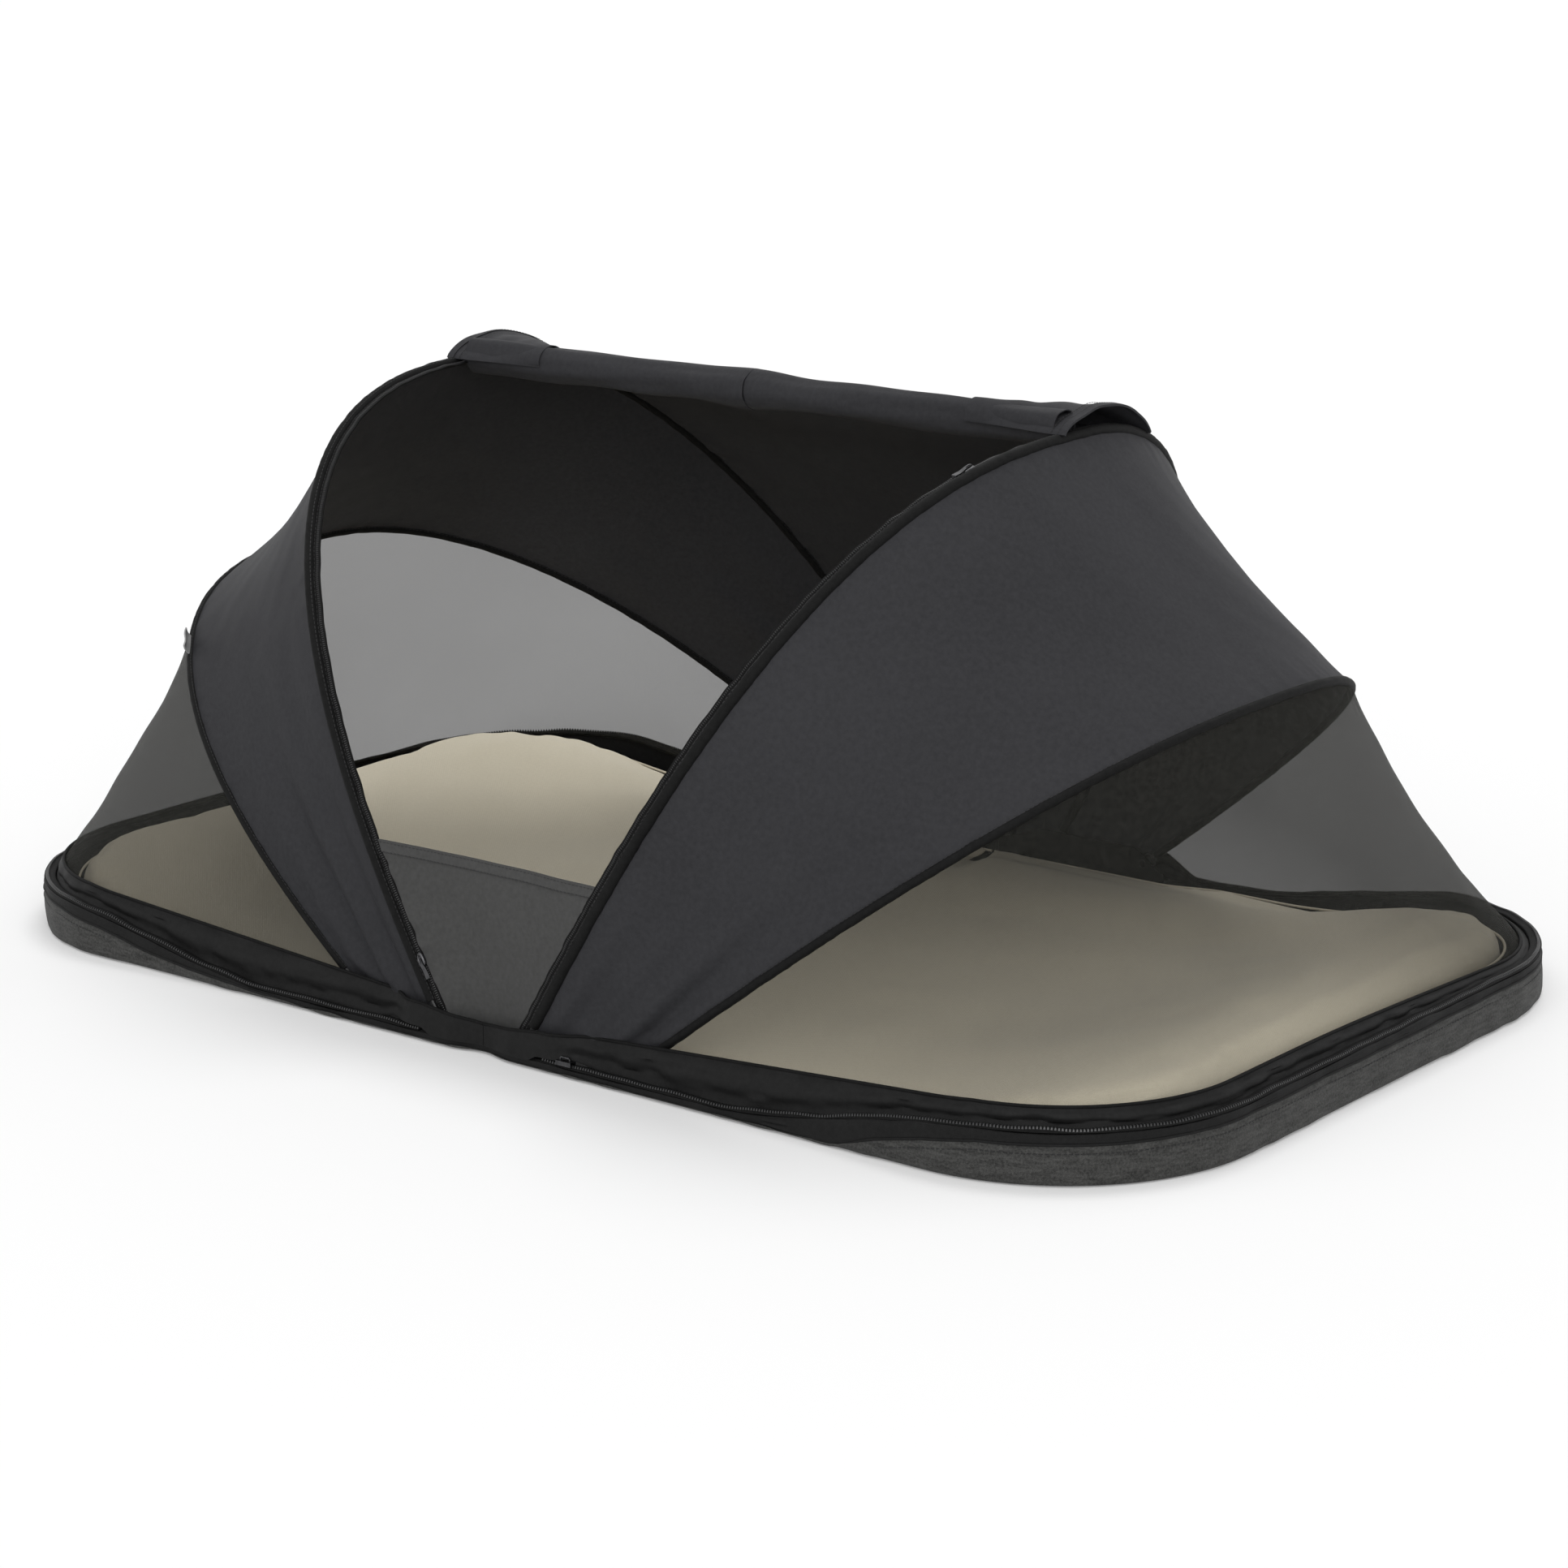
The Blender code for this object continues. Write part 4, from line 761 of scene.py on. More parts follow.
def door_zip(half, side):
    front, square = zip_line()
    edge = DOOR["sleeve"] + ZIP_WIDTH
    grid = panel_between(front + square * (edge - ZIP_TAPE), front + square * edge, 9)
    uv = grid_uv(grid)
    n = grid_normals(grid)
    n = n * np.sign(n[..., 2:3] - n[..., 1:2] * 0.3)
    grid = grid + n * (wander(uv[..., 0], 0.03, 91 + side) * 0.0003)[..., None]
    grid, n = mirror(grid, side), mirror(n, side)
    tape = add_sheet(half + "_door_zip_tape", grid, MAT["tape"], TAPE_CLOTH, uv)
    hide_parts(half + "_door_zip")
    follow_hoop(tape, half, DOOR)
    up = n[:, 6]
    coil = block_row(grid[:, 6] + up * 0.0005, up, *DOOR_TEETH)
    teeth = add_blocks(half + "_door_zip_coil", [coil], MAT["teeth"])
    follow_hoop(teeth, half, DOOR)
    sew(half, "_door_zip_stitches", [block_row(grid[:, 4] + up * 0.0005, up, *STITCH)])


# Rings of the slider's body: place along it, width and height
SLIDER_BODY = ((-1.0, 0.50, 0.60), (-0.86, 0.80, 0.86), (-0.5, 1.0, 1.0), (0.1, 1.0, 1.0), (0.5, 0.92, 0.96),
               (0.86, 0.74, 0.84), (1.0, 0.50, 0.60))


def door_slider(half, side):
    """Slider of a door zip: its body on the coil, a bail and a pull that hangs along the tape."""
    name = half + "_door_zip_slider"
    node = nodes[name]
    middle = np.mean([(node.matrix_world @ Vector(c))[:] for c in node.bound_box], axis=0) * (side, 1, 1)
    front, square = zip_line()
    path = front + square * (DOOR["sleeve"] + ZIP_WIDTH * 0.55)
    k = int(np.argmin(np.linalg.norm(path - middle, axis=1)))
    place, along, across = path[k], tangents(path)[k], square[k]
    out = unit(np.cross(along, across))
    out = out * (1 if out[2] - 0.3 * out[1] > 0 else -1)
    turns = 2 * pi * np.arange(16) / 16
    flat, tall = (np.sign(wave) * np.abs(wave) ** 0.6 for wave in (np.cos(turns), np.sin(turns)))
    rings = []
    for step, wide, high in SLIDER_BODY:
        at = place + along * step * SLIDER_LONG + out * 0.0008
        side_way, out_way = (flat * SLIDER_WIDE * wide)[:, None], (tall * SLIDER_TALL * high)[:, None]
        rings.append(at + across * side_way + out * out_way)
    body = add_sweep(half + "_door_slider_body", mirror(np.array(rings), side), MAT["slider"])
    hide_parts(name)
    arc = np.linspace(0, pi, 14)[:, None]
    loop = place + out * (0.0026 + 0.0018 * np.sin(arc)) - along * 0.0034 * np.cos(arc)
    bail = add_sweep(half + "_door_slider_bail", mirror(tube_rings(loop, across, 0.0006, 8), side),
                     MAT["slider"])
    tab = []
    for down in np.linspace(-0.0010, 0.0150, 12):
        wide = np.linspace(-1, 1, 6) * (0.0016 + 0.0005 * ease((down - 0.004) / 0.008))
        lift = 0.0036 - 0.0014 * ease(down / 0.010)
        tab.append(place - along * down + out * lift + across * wide[:, None])
    pull = add_sheet(half + "_door_slider_pull", mirror(np.array(tab), side), MAT["slider"], 0.0009)
    for obj in (body, bail, pull):
        follow_hoop(obj, half, DOOR)


def sleeve(half, side, hoop, label):
    """The black channel that a rod runs in, with its seam and two rows of stitches."""
    line, normal = hoop_line(hoop, 260, 0.018), hoop_normal(hoop)
    s = lengths(line)
    a = 2 * pi * np.arange(16) / 16
    wobble = wander(s, 0.035, 60 + side, 12)[:, None] * np.cos(a + 0.7)[None] * 0.035
    wobble = wobble + wander(s, 0.012, 64 + side, 12)[:, None] * np.cos(2 * a)[None] * 0.02
    rings = mirror(tube_rings(line, normal, hoop["sleeve"] * (1 + wobble), 16), side)
    obj = add_sweep(half + "_" + label + "_sleeve_cloth", rings, MAT["sleeve"])
    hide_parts(half + "_" + label + "_hoop_sleeve")
    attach(obj, half + "_" + hoop["body"])
    beside = unit(np.cross(np.broadcast_to(normal, line.shape), tangents(line)))
    rows = []
    for turn in (0.5, -0.5):
        up = unit(normal * cos(turn) + beside * sin(turn))
        row = mirror(line + up * hoop["sleeve"] * 1.02, side)
        rows.append(block_row(row, mirror(up, side), *SLEEVE_STITCH))
    thread = add_blocks(half + "_" + label + "_sleeve_stitches", rows, MAT["thread"])
    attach(thread, half + "_" + hoop["body"])


def door_sleeve(half, side):
    sleeve(half, side, DOOR, "door")


def end_sleeve(half, side):
    sleeve(half, side, END, "end")


# Rolled-up door

ROLL_Y, ROLL_RISE = -0.016, 0.006
ROLL_CORE, ROLL_RADIUS, ROLL_TURNS, ROLL_WIDE = 0.0040, 0.0142, 2.0, 1.10
FLAP_START, FLAP_FRONT, FLAP_BACK, FLAP_RISE = 0.205, -0.036, 0.090, 0.0150


def roll_shape(x, side):
    """Soft changes of the roll's width and height along its length."""
    return ROLL_WIDE * (1 + 0.05 * wander(x, 0.16, 27 + side, 6)), 1 + 0.04 * wander(x, 0.20, 28 + side, 6)


def roll(half, side):
    """The door, rolled along the ridge, its last turn hanging a little lower than the rest."""
    top = hoop_leg(DOOR, -1, 40)[-1]
    count, turns = 96, 130
    x = SEAM_HALF + (top[0] - 0.008 - SEAM_HALF) * np.linspace(0, 1, count)
    t = np.linspace(0, 1, turns)
    angle = 2 * pi * ROLL_TURNS * t - pi / 2
    radius = ROLL_CORE + (ROLL_RADIUS - ROLL_CORE) * t
    wide, tall = roll_shape(x, side)
    rows = []
    for k in range(count):
        y = ROLL_Y + radius * wide[k] * np.cos(angle)
        z = top[2] + ROLL_RISE + radius * tall[k] * np.sin(angle)
        z = z - 0.0016 * np.clip(-np.sin(angle), 0, 1)
        rows.append(np.column_stack([np.full(turns, x[k]), y, z]))
    grid = np.array(rows)
    uv = grid_uv(grid)
    signed = mirror(grid, side)
    waves = ripple(signed * (0.10, 1, 1), 0.016, 21) * 0.00050 + ripple(signed, 0.09, 22) * 0.0005
    grid = mirror(grid + grid_normals(grid) * waves[..., None], side)
    hoop_cloth(half, DOOR, "_rolled_door", "_door_roll", grid, uv, "canopy")


def hoop_at(hoop, y):
    """Points of a hoop above the given distances from the tent's middle line."""
    power = np.where(y < 0, hoop["square"][0], hoop["square"][1])
    rho = hoop["reach"] * (1 - (np.abs(y) / hoop["half_width"]) ** power) ** (1 / power)
    return hoop["foot"] + rho * cos(hoop["lean"]), rho * sin(hoop["lean"])


def roll_end(half, side):
    """The hemmed end of the rolled door: it opens from the roll into an arch over the hoop."""
    top = hoop_leg(DOOR, -1, 40)[-1]
    s = np.linspace(0, 1, 46)[:, None]
    t = np.linspace(0, 1, 80)[None]
    turn = pi * (1.06 - 1.10 * t)
    wide, tall = roll_shape(FLAP_START + 0.08 * s, side)
    wound = (turn + 2.5 * pi) / (2 * pi * ROLL_TURNS)
    reach = ROLL_CORE + (ROLL_RADIUS - ROLL_CORE) * wound + 0.0005 + 0.0008 * s
    near_y = ROLL_Y + reach * wide * np.cos(turn)
    near_z = top[2] + ROLL_RISE + reach * tall * np.sin(turn)
    far_y = FLAP_FRONT + (FLAP_BACK - FLAP_FRONT) * t
    hoop_x, hoop_z = hoop_at(DOOR, far_y)
    far_z = hoop_z + 0.0030 + FLAP_RISE * (np.sin(pi * t) ** 0.62 * (1.12 - 0.30 * t))
    open_ = ease(s) ** 1.15
    x = FLAP_START + (hoop_x + 0.0055 - FLAP_START) * s
    y = near_y + (far_y - near_y) * open_
    z = near_z + (far_z - near_z) * open_
    grid = np.stack([x, y, z], 2)
    uv = grid_uv(grid)
    n = grid_normals(grid)
    up = np.sign(n[..., 2:3])
    n = n * np.where(up == 0, 1, up)
    rings = 0.0007 * np.sin(2 * pi * (3.1 * s + 0.35 * np.sin(pi * t))) * ease((s - 0.25) / 0.3)
    soft = ripple(mirror(grid, side), 0.035, 25) * 0.0005
    grid = grid + n * ((rings + soft) * np.sin(pi * t) ** 0.5)[..., None]
    grid, n = mirror(grid, side), mirror(n, side)
    hoop_cloth(half, DOOR, "_rolled_door_end", None, grid, uv, "canopy")
    door_hem(half, "_rolled_door", grid, n, uv, "canopy", (0.0070, 0.0008, 0.0010),
             (0.0062, 0.0125), 0.0013)


# Base

def heather_top(x, side):
    """Height that the heather cloth reaches on the wall, before the black binding starts."""
    if side > 0:
        knots = (0.0, 0.32, 0.34, 0.36, 0.40, 0.44, 0.56)
        tops = (0.0006, 0.0008, 0.007, 0.014, 0.023, 0.029, 0.0305)
    else:
        knots = (0.0, 0.16, 0.20, 0.25, 0.30, 0.35, 0.40, 0.45, 0.56)
        tops = (0.0006, 0.0008, 0.0040, 0.0060, 0.0095, 0.015, 0.025, 0.030, 0.0305)
    return np.interp(np.abs(x), knots, tops)


def base_cover(half, side):
    """The tray: heather cloth outside, black binding up to the zip, black lining inside."""
    rim = outline(0.0, SEAM_HALF)
    high = rim_height(rim[:, 0])
    cut = np.maximum(np.minimum(heather_top(rim[:, 0], side), high - 0.0025), COVER_FOOT)
    rows = []
    for inset, z in ((0.010, 0.0), (0.005, 0.0002), (0.0022, 0.0010), (0.0008, COVER_FOOT)):
        rows.append((inset, np.minimum(z, cut * 0.8)))
    for share in (0.12, 0.28, 0.45, 0.62, 0.80, 0.95):
        rows.append((0.0006 - 0.0006 * np.sin(pi * share), COVER_FOOT + (cut - COVER_FOOT) * share))
    heather_rows = len(rows)
    rows.append((0.0010, cut))
    uneven = 1 + 0.4 * wander(lengths(rim), 0.09, 7 + side, 8)
    depth = np.clip((high - cut) / 0.012, 0.2, 1.0)
    for share, fold in ((0.04, 0.0), (0.20, -0.9), (0.38, 0.3), (0.56, -0.8), (0.76, 0.4), (0.93, -0.2)):
        rows.append((0.0008 + 0.0006 * fold * depth * uneven, cut + (high - cut) * share))
    rows += [(0.0022, high), (0.0060, high), (0.0076, high - 0.0012),
             (0.0080, high - 0.0030), (0.0080, np.full_like(high, FLOOR_THICKNESS))]
    rings = []
    for inset, z in rows:
        mean = float(np.mean(inset))
        plan = outline(mean, SEAM_HALF)
        if np.ndim(inset):
            inward = unit(np.gradient(plan, axis=0))[:, ::-1] * (-1, 1)
            plan = plan + inward * (inset - mean)[:, None]
        plan[:, 0] = np.maximum(plan[:, 0], SEAM_HALF)
        rings.append(np.column_stack([notched(plan), np.broadcast_to(z, high.shape)]))
    grid = np.stack(rings, 1)
    count, cols = grid.shape[:2]
    signed = mirror(grid, side)
    soft = ripple(signed, 0.10, 17 + side) * 0.0007 + ripple(signed, 0.03, 19 + side) * 0.00025
    hold = np.ones(cols)
    hold[:3] = 0
    hold[-4:] = 0
    s = lengths(grid[:, 0])
    ends = ease(s / 0.02) * ease((s[-1] - s) / 0.02)
    grid = grid + grid_normals(grid) * (soft * hold[None] * ends[:, None])[..., None]
    grid[..., 2] = np.maximum(grid[..., 2], 0.0)
    faces = [tuple(f) for f in grid_quads(count, cols).tolist()]
    mats = [0 if f[0] % cols < heather_rows else 1 for f in faces]
    for column, mat in ((0, 0), (cols - 1, 2)):
        across = bridge(count, cols, column)
        faces += across if column else [face[::-1] for face in across]
        mats += [mat] * len(across)
    first = tuple(range(cols))
    last = tuple((count - 1) * cols + k for k in range(cols))
    faces.append(first + last[::-1])
    mats.append(1)
    obj = add_mesh(half + "_base_cover", mirror(grid, side), faces,
                   [MAT["heather"], MAT["binding"], MAT["band"]], grid_uv(grid, 8), mats)
    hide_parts(half + "_base_shell")
    ride_base(obj, half)
    # Piping where the two cloths meet, and the stitches under it
    seam = grid[:, heather_rows]
    outward = np.column_stack([unit(np.gradient(seam[:, :2], axis=0))[:, ::-1] * (1, -1), np.zeros(count)])
    keep = np.where(cut > 0.0030)[0]
    for number, part in enumerate(np.split(keep, np.where(np.diff(keep) > 1)[0] + 1)):
        if len(part) < 12:
            continue
        path = mirror(seam[part] + outward[part] * 0.0002, side)
        step = np.arange(len(part))
        rings = tube_rings(path, UP, BASE_CORD * np.clip(np.minimum(step, step[::-1]) / 5.0, 0.15, 1), 8)
        cord = add_sweep(half + "_base_piping_%d" % (number + 1), rings, MAT["binding"])
        ride_base(cord, half)
    part = np.where(cut > 0.014)[0]
    path = seam[part] - (0, 0, 0.0062) + outward[part] * 0.0009
    row = block_row(mirror(path, side), mirror(outward[part], side), *BASE_STITCH)
    ride_base(add_blocks(half + "_base_stitches", [row], MAT["thread"]), half)


def rim_zip(half, side):
    """Tape and teeth of the case zip, round the top of the wall."""
    rim = outline(0.0, ZIP_START, ZIP_STATIONS)
    high = rim_height(rim[:, 0])
    wave = wander(lengths(rim), 0.07, 31 + side, 10) * 0.0004
    rings = []
    for inset, lift in ((TAPE_INSET, 0.0003), (TAPE_INSET, 0.0012), (0.0022, 0.0016), (0.0060, 0.0017),
                        (0.0092, 0.0016), (TAPE_END, 0.0010), (TAPE_END, 0.0003)):
        plan = outline(inset, ZIP_START, ZIP_STATIONS)
        rings.append(np.column_stack([plan, high + lift + wave * (lift > 0.0005)]))
    tape = add_sweep(half + "_rim_zip_tape", mirror(np.stack(rings, 1), side), MAT["tape"])
    plan = outline(TEETH_INSET + TEETH_WIDTH / 2, ZIP_START, ZIP_STATIONS)
    path = mirror(np.column_stack([plan, high + 0.0019 + wave]), side)
    row = block_row(path, np.broadcast_to(UP, path.shape), *CASE_TEETH)
    teeth = add_blocks(half + "_rim_zip_coil", [row], MAT["teeth"])
    for obj, node, slot in ((tape, "_case_zip_tape", "zip_tape"), (teeth, "_case_zip_teeth", "zip_teeth")):
        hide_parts(half + node)
        ride_base(obj, half)


def rim_band(half, side):
    """Black cloth from the zip up to the insect mesh, softly creased along its length.

    At the waist it runs on outside the hinge bracket and the zip's end.
    """
    start = SEAM_HALF * 4
    rim = outline(0.0, start, BAND_STATIONS)
    edge, s = rim[:, 0], lengths(rim)
    waist = ease((BAND_START - edge) / 0.035)
    over_zip = ease((0.108 - edge) / 0.02) * ease((edge - 0.046) / 0.012)
    low = rim_height(edge) - 0.0010 + 0.0050 * over_zip
    high = band_high(rim)
    rows = 15
    grid = []
    for k in range(rows):
        share = k / (rows - 1)
        inset = BAND_INSET + BAND_LEAN * share + 0.0003
        plan = outline(inset, start, BAND_STATIONS)
        t = unit(np.gradient(plan, axis=0))
        inward = np.column_stack([-t[:, 1], t[:, 0]])
        crease = 0.0016 * np.sin(2 * pi * (1.35 * share + 0.08 * wander(s, 0.22, 5 + side, 6)))
        crease = crease + 0.0008 * wander(s, 0.05, 6 + side + k // 5, 9)
        crease = crease * sin(pi * share) ** 0.7 * (1 - waist) * np.clip((high - low) / 0.018, 0.1, 1)
        out = inset - (WAIST_BAND_INSET + WAIST_BAND_LEAN * share)
        plan = notched(plan + inward * (crease - out * waist)[:, None])
        grid.append(np.column_stack([plan, low + (high - low) * share]))
    grid = np.stack(grid, 1)
    grid[..., 0] = np.maximum(grid[..., 0], start)
    uv = grid_uv(grid)
    grid = mirror(grid, side)
    obj = add_sheet(half + "_band_cloth", grid, MAT["band"], TAPE_CLOTH, uv)
    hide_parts(half + "_rim_band")
    ride_base(obj, half, BAND_PRESS)
    # Binding bead where the mesh is sewn to the band
    rings = tube_rings(grid[:, -1] + (0, 0, 0.0002), UP, MESH_CORD, 8)
    bead = add_sweep(half + "_mesh_binding", rings, MAT["sleeve"])
    ride_base(bead, half, BAND_PRESS)


def waist_lining(half, side):
    """Black cloth inside the waist that hides the hinge brackets, front and back."""
    x = np.linspace(SEAM_HALF * 8, LINING_LENGTH, 60)
    gx, gz = np.meshgrid(x, np.linspace(LINING_LOW, LINING_TOP, 14), indexing="ij")
    tall = 1 - 0.60 * ease((gx - 0.135) / (LINING_LENGTH - 0.135)) - 0.42 * ease((0.05 - gx) / 0.05)
    gz = LINING_LOW + (gz - LINING_LOW) * tall
    for label, end in (("front", -1), ("back", 1)):
        fold = 0.0009 * np.sin(gx * 95 + end) * np.sin(pi * (gz - LINING_LOW) / LINING_TOP)
        grid = mirror(np.stack([gx, end * (LINING_Y + fold), gz], 2), side)
        obj = add_sheet(half + "_waist_lining_" + label, grid, MAT["band"], TAPE_CLOTH)
        ride_base(obj, half, BAND_PRESS)


# Side of the pad: inset and share of the height, from the floor up
MATTRESS_SECTION = ((0.0100, 0.0), (0.0055, 0.05), (0.0022, 0.15), (0.0005, 0.29), (0.0, 0.44),
                    (0.0008, 0.60), (0.0030, 0.75), (0.0080, 0.88), (0.0170, 0.955), (0.030, 0.985))


def mattress_edge(x, share=1.0):
    """Height of the pad's top edge, or of a share of it: low along the sides, raised at the end."""
    top = PAD_TOP + PAD_RISE * ease((np.abs(x) - PAD_RISE_START) / (HALF_LENGTH - PAD_RISE_START))
    return MATTRESS_LOW + (top - MATTRESS_LOW) * share


def mattress_outline(inset, x_start):
    plan = outline(MATTRESS_INSET + inset, x_start, 60, 30, 22)
    narrow = PAD_NARROW * (1 - ease((np.abs(plan[:, 0]) - PAD_NARROW_END) / 0.06))
    plan[:, 1] -= np.sign(plan[:, 1]) * narrow * (plan[:, 0] < HALF_LENGTH - CORNER_RADIUS)
    return plan


def pad_mesh():
    """Vertices and faces of the right half's pad: drawn-in sides, thin edges and a crown."""
    rings = []
    for inset, share in MATTRESS_SECTION:
        plan = mattress_outline(inset, 0.0010 + inset * 0.05)
        rings.append(np.column_stack([plan, mattress_edge(plan[:, 0], share)]))
    outer = np.stack(rings, 1)
    count, cols = outer.shape[:2]
    half_count = (count + 1) // 2
    faces = grid_quads(count, cols).tolist() + [face[::-1] for face in bridge(count, cols, 0)]
    # Top rows bridge from the front edge to the back edge over the crown
    across, spans = 60, half_count - 1
    front, back = outer[:spans, -1], outer[::-1][:spans, -1]
    v = np.arange(1, across) / across
    crown = front[:, None] + (back - front)[:, None] * v[:, None]
    x = crown[..., 0]
    rise = (mattress_edge(x) - crown[..., 2]) * ease(np.minimum(v, 1 - v) * 9)
    rise = rise + (PAD_CROWN - PAD_CROWN_LOSS * ease(np.abs(x) / 0.40)) * 4 * v * (1 - v)
    rise = rise + BACK_SHOULDER * ease((v - 0.70) / 0.20) * (1 - ease((v - 0.94) / 0.06))
    crown[..., 2] += rise * ease((outer[:, -1, 0].max() - x) / 0.045)
    edge = np.arange(count) * cols + cols - 1
    index = np.repeat(edge[:half_count, None], across + 1, 1)
    index[:spans, 1:-1] = count * cols + np.arange(spans * (across - 1)).reshape(spans, -1)
    index[:spans, -1] = edge[::-1][:spans]
    for k in range(spans):
        for j in range(across):
            face = (index[k, j], index[k + 1, j], index[k + 1, j + 1], index[k, j + 1])
            clean = tuple(dict.fromkeys(int(f) for f in face))
            if len(clean) > 2:
                faces.append(clean)
    first = list(range(cols))
    last = [(count - 1) * cols + k for k in range(cols)]
    faces.append(tuple(first + [int(g) for g in index[0, 1:-1]] + last[::-1]))
    return np.concatenate([outer.reshape(-1, 3), crown.reshape(-1, 3)]), faces


PAD_VOXEL, PAD_PRESSURE, PAD_FRAMES, PAD_CAP = 0.005, 4.0, 20, 0.005


def mesh_arrays(obj):
    """Vertices and faces of an object as its modifiers leave it."""
    graph = bpy.context.evaluated_depsgraph_get()
    mesh = obj.evaluated_get(graph).to_mesh()
    verts = np.zeros(len(mesh.vertices) * 3)
    mesh.vertices.foreach_get("co", verts)
    return verts.reshape(-1, 3), [tuple(p.vertices) for p in mesh.polygons]


def swell(verts, faces):
    """Remeshes the pad and fills it with Blender's cloth under pressure, within a cap."""
    pad = add_mesh("pad_for_cloth", verts, faces, MAT["mattress"])
    remesh = pad.modifiers.new("remesh", "REMESH")
    remesh.mode = "VOXEL"
    remesh.voxel_size = PAD_VOXEL
    bpy.context.view_layer.update()
    verts, faces = mesh_arrays(pad)
    bpy.data.objects.remove(pad)
    pad = add_mesh("pad_for_cloth", verts, faces, MAT["mattress"])
    held = pad.vertex_groups.new(name="held")
    low = np.where(verts[:, 2] < MATTRESS_LOW + 0.0012)[0]
    held.add([int(k) for k in low], 1.0, "ADD")
    cloth = pad.modifiers.new("cloth", "CLOTH")
    cloth.settings.quality = 4
    cloth.settings.use_pressure = True
    cloth.settings.uniform_pressure_force = PAD_PRESSURE
    cloth.settings.vertex_group_mass = "held"
    cloth.settings.effector_weights.gravity = 0.0
    cloth.collision_settings.use_collision = False
    scene = bpy.context.scene
    for frame_number in range(1, PAD_FRAMES + 1):
        scene.frame_set(frame_number)
    swollen, _ = mesh_arrays(pad)
    bpy.data.objects.remove(pad)
    scene.frame_set(1)
    move = swollen - verts
    far = np.linalg.norm(move, axis=1, keepdims=True)
    move = move * np.minimum(1, PAD_CAP / np.maximum(far, 1e-9))
    verts = verts + move
    verts[:, 0] = np.maximum(verts[:, 0], 0.0008)
    verts[:, 2] = np.maximum(verts[:, 2], MATTRESS_LOW)
    return verts, faces


def mattress(half, side):
    """Foam pad in a knitted cover, with its piped seam."""
    verts = np.array(pad_verts)
    top = np.clip((verts[:, 2] - MATTRESS_LOW) / 0.02, 0, 1)
    signed = mirror(verts, side)
    soft = ripple(signed, 0.16, 91) * 0.0008 + ripple(signed, 0.05, 92) * 0.0003
    verts[:, 2] += soft * top * ease(verts[:, 0] / 0.03)
    verts = mirror(verts, side)
    obj = add_mesh(half + "_mattress", verts, pad_faces, MAT["mattress"], verts[:, :2])
    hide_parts(half + "_mattress_half")
    ride_base(obj, half)
    smooth = obj.modifiers.new("smooth", "SUBSURF")
    smooth.levels = smooth.render_levels = 1
    seam = mattress_outline(0.0004, 0.0014)
    path = np.column_stack([seam, mattress_edge(seam[:, 0], 0.62)])
    rings = tube_rings(mirror(path, side), UP, MATTRESS_CORD, 8)
    cord = add_sweep(half + "_mattress_piping", rings, MAT["piping"])
    ride_base(cord, half)


def gusset():
    """Black cloth over the fold between the two floors."""
    reach, wide = GUSSET_REACH, GUSSET_HALF_WIDTH
    gx, gy = np.meshgrid(np.linspace(-reach, reach, 25), np.linspace(-wide, wide, 121), indexing="ij")
    z = 0.0050 + 0.0004 * np.sin(gy * 90) * np.cos(gx * 60) * ease((reach - np.abs(gx)) / 0.012)
    grid = np.stack([gx, gy, z], 2)
    obj = add_sheet("waist_gusset_cloth", grid, MAT["band"], TAPE_CLOTH)
    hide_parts("waist_gusset")
    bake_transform(obj)


def side_tag():
    """Blank folded ribbon beside the left end hoop's sleeve."""
    line = hoop_leg(END, -1, 171)
    centre, tangent = line[100], tangents(line)[100]
    out = squared(unit(np.array([0, centre[1], 0.35])), tangent)
    across = np.cross(tangent, out)
    grid = []
    for a in np.linspace(-0.5, 0.5, 24):
        for b in np.linspace(0, 1, 12):
            lift = END["sleeve"] * 0.9 + TAG_DEPTH * b
            bend = 0.0010 * sin(pi * b) + 0.0006 * b * sin(7 * a)
            grid.append(centre + tangent * a * TAG_WIDTH + out * lift + across * bend)
    grid = mirror(np.array(grid).reshape(24, 12, 3), -1)
    obj = add_sheet("left_side_tag", grid, MAT["tag"], TAG_CLOTH)
    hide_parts("side_tag")
    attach(obj, "left_end_bow")


pad_verts, pad_faces = pad_mesh()
pad_verts, pad_faces = swell(pad_verts, pad_faces)
for half, side in SIDES:
    for draw in (base_cover, rim_zip, rim_band, waist_lining, mattress, end_mesh, canopy, roof, sill,
                 door_zip, door_slider, door_sleeve, end_sleeve, roll, roll_end):
        draw(half, side)
gusset()
side_tag()


# Studio

FLOOR_SIZE, FLOOR_LOW, FLOOR_GREY, FLOOR_GLOW = 60.0, -0.0004, 0.80, 0.15
WORLD_LIGHT = 0.66
LAMPS = (("key", 60.0, 0.38, (38.0, 10.0, 0.0)),
         ("rim", 30.0, 0.70, (-26.7, -8.0, 0.0)),
         ("low", 40.0, 0.95, (43.6, 53.2, 0.0)))
WHITE = (1, 1, 1, 1)


def bare_tree(owner):
    owner.use_nodes = True
    owner.node_tree.nodes.clear()
    return owner.node_tree


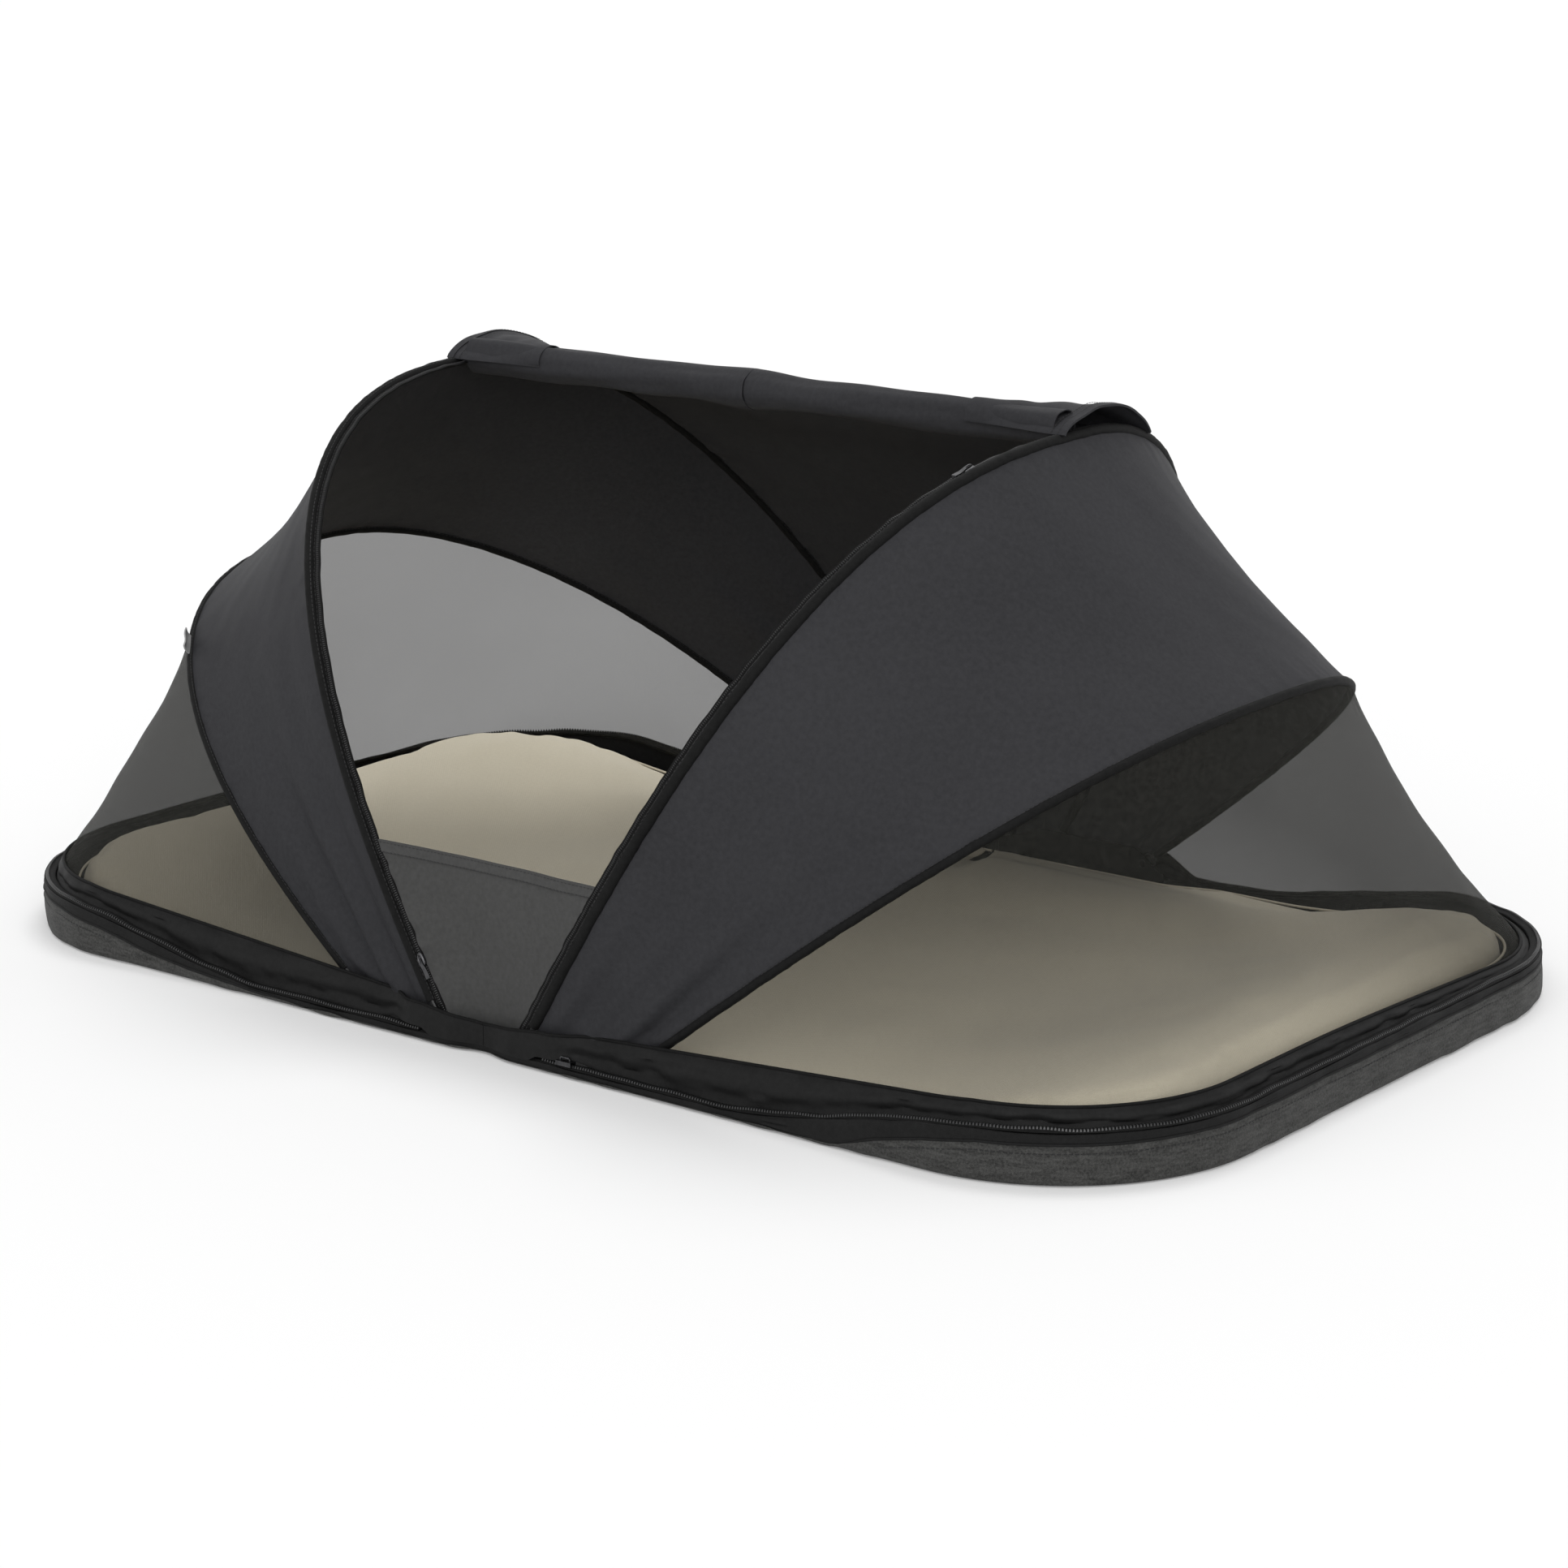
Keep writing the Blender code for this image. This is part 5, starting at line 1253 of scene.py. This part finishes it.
def studio():
    """A white floor and surround, with three soft lamps."""
    mesh = bpy.data.meshes.new("studio_floor")
    corners = [(x * FLOOR_SIZE, y * FLOOR_SIZE, FLOOR_LOW) for x, y in ((-1, -1), (1, -1), (1, 1), (-1, 1))]
    mesh.from_pydata(corners, [], [(0, 1, 2, 3)])
    floor = add_object("studio_floor", mesh)
    mat = bpy.data.materials.new("studio_floor")
    tree = bare_tree(mat)
    matt = add_node(tree, "BsdfDiffuse", (FLOOR_GREY, FLOOR_GREY, FLOOR_GREY, 1))
    glow = add_node(tree, "Emission", WHITE, seen_directly(tree, FLOOR_GLOW))
    both = add_node(tree, "AddShader", matt.outputs[0], glow.outputs[0])
    add_node(tree, "OutputMaterial", both.outputs[0])
    mesh.materials.append(mat)

    world = bpy.data.worlds.new("studio")
    bpy.context.scene.world = world
    tree = bare_tree(world)
    lights = [add_node(tree, "Background", WHITE, strength).outputs[0] for strength in (WORLD_LIGHT, 1.0)]
    mix = add_node(tree, "MixShader", seen_directly(tree, 1.0), *lights)
    add_node(tree, "OutputWorld", mix.outputs[0])

    for name, angle, strength, rotation in LAMPS:
        lamp = bpy.data.lights.new(name, "SUN")
        lamp.energy = strength
        lamp.angle = radians(angle)
        add_object(name, lamp).rotation_euler = [radians(r) for r in rotation]


def seen_directly(tree, strength):
    """Strength for camera, glossy and transmission rays, and nothing for the rest."""
    path = add_node(tree, "LightPath")
    rays = [path.outputs[name] for name in ("Is Camera Ray", "Is Glossy Ray", "Is Transmission Ray")]
    seen = math_node(tree, "MAXIMUM", math_node(tree, "MAXIMUM", rays[0], rays[1]), rays[2])
    return math_node(tree, "MULTIPLY", seen, strength)


def add_camera():
    azimuth, elevation, distance = 0.665705844, 0.257323345, 3.30823057
    target = np.array([-0.0137130447, 0.0348723144, 0.123235268])
    turn = -0.00302303098
    back = np.array([sin(azimuth) * cos(elevation), -cos(azimuth) * cos(elevation), sin(elevation)])
    right = unit(np.cross(-back, UP))
    up = np.cross(right, -back)
    axes = (right * cos(turn) + up * sin(turn), -right * sin(turn) + up * cos(turn), back,
            target + back * distance)
    rows = [[float(axis[k]) for axis in axes] for k in range(3)]
    camera = bpy.data.cameras.new("camera")
    camera.sensor_width = 36.0
    camera.sensor_fit = "HORIZONTAL"
    camera.lens = 5147.34751 / 1932 * 36.0
    camera.clip_end = 200.0
    obj = add_object("camera", camera)
    obj.matrix_world = Matrix(rows + [[0, 0, 0, 1]])
    bpy.context.scene.camera = obj


studio()
add_camera()
bpy.context.scene.view_settings.view_transform = "Standard"
bpy.context.view_layer.update()
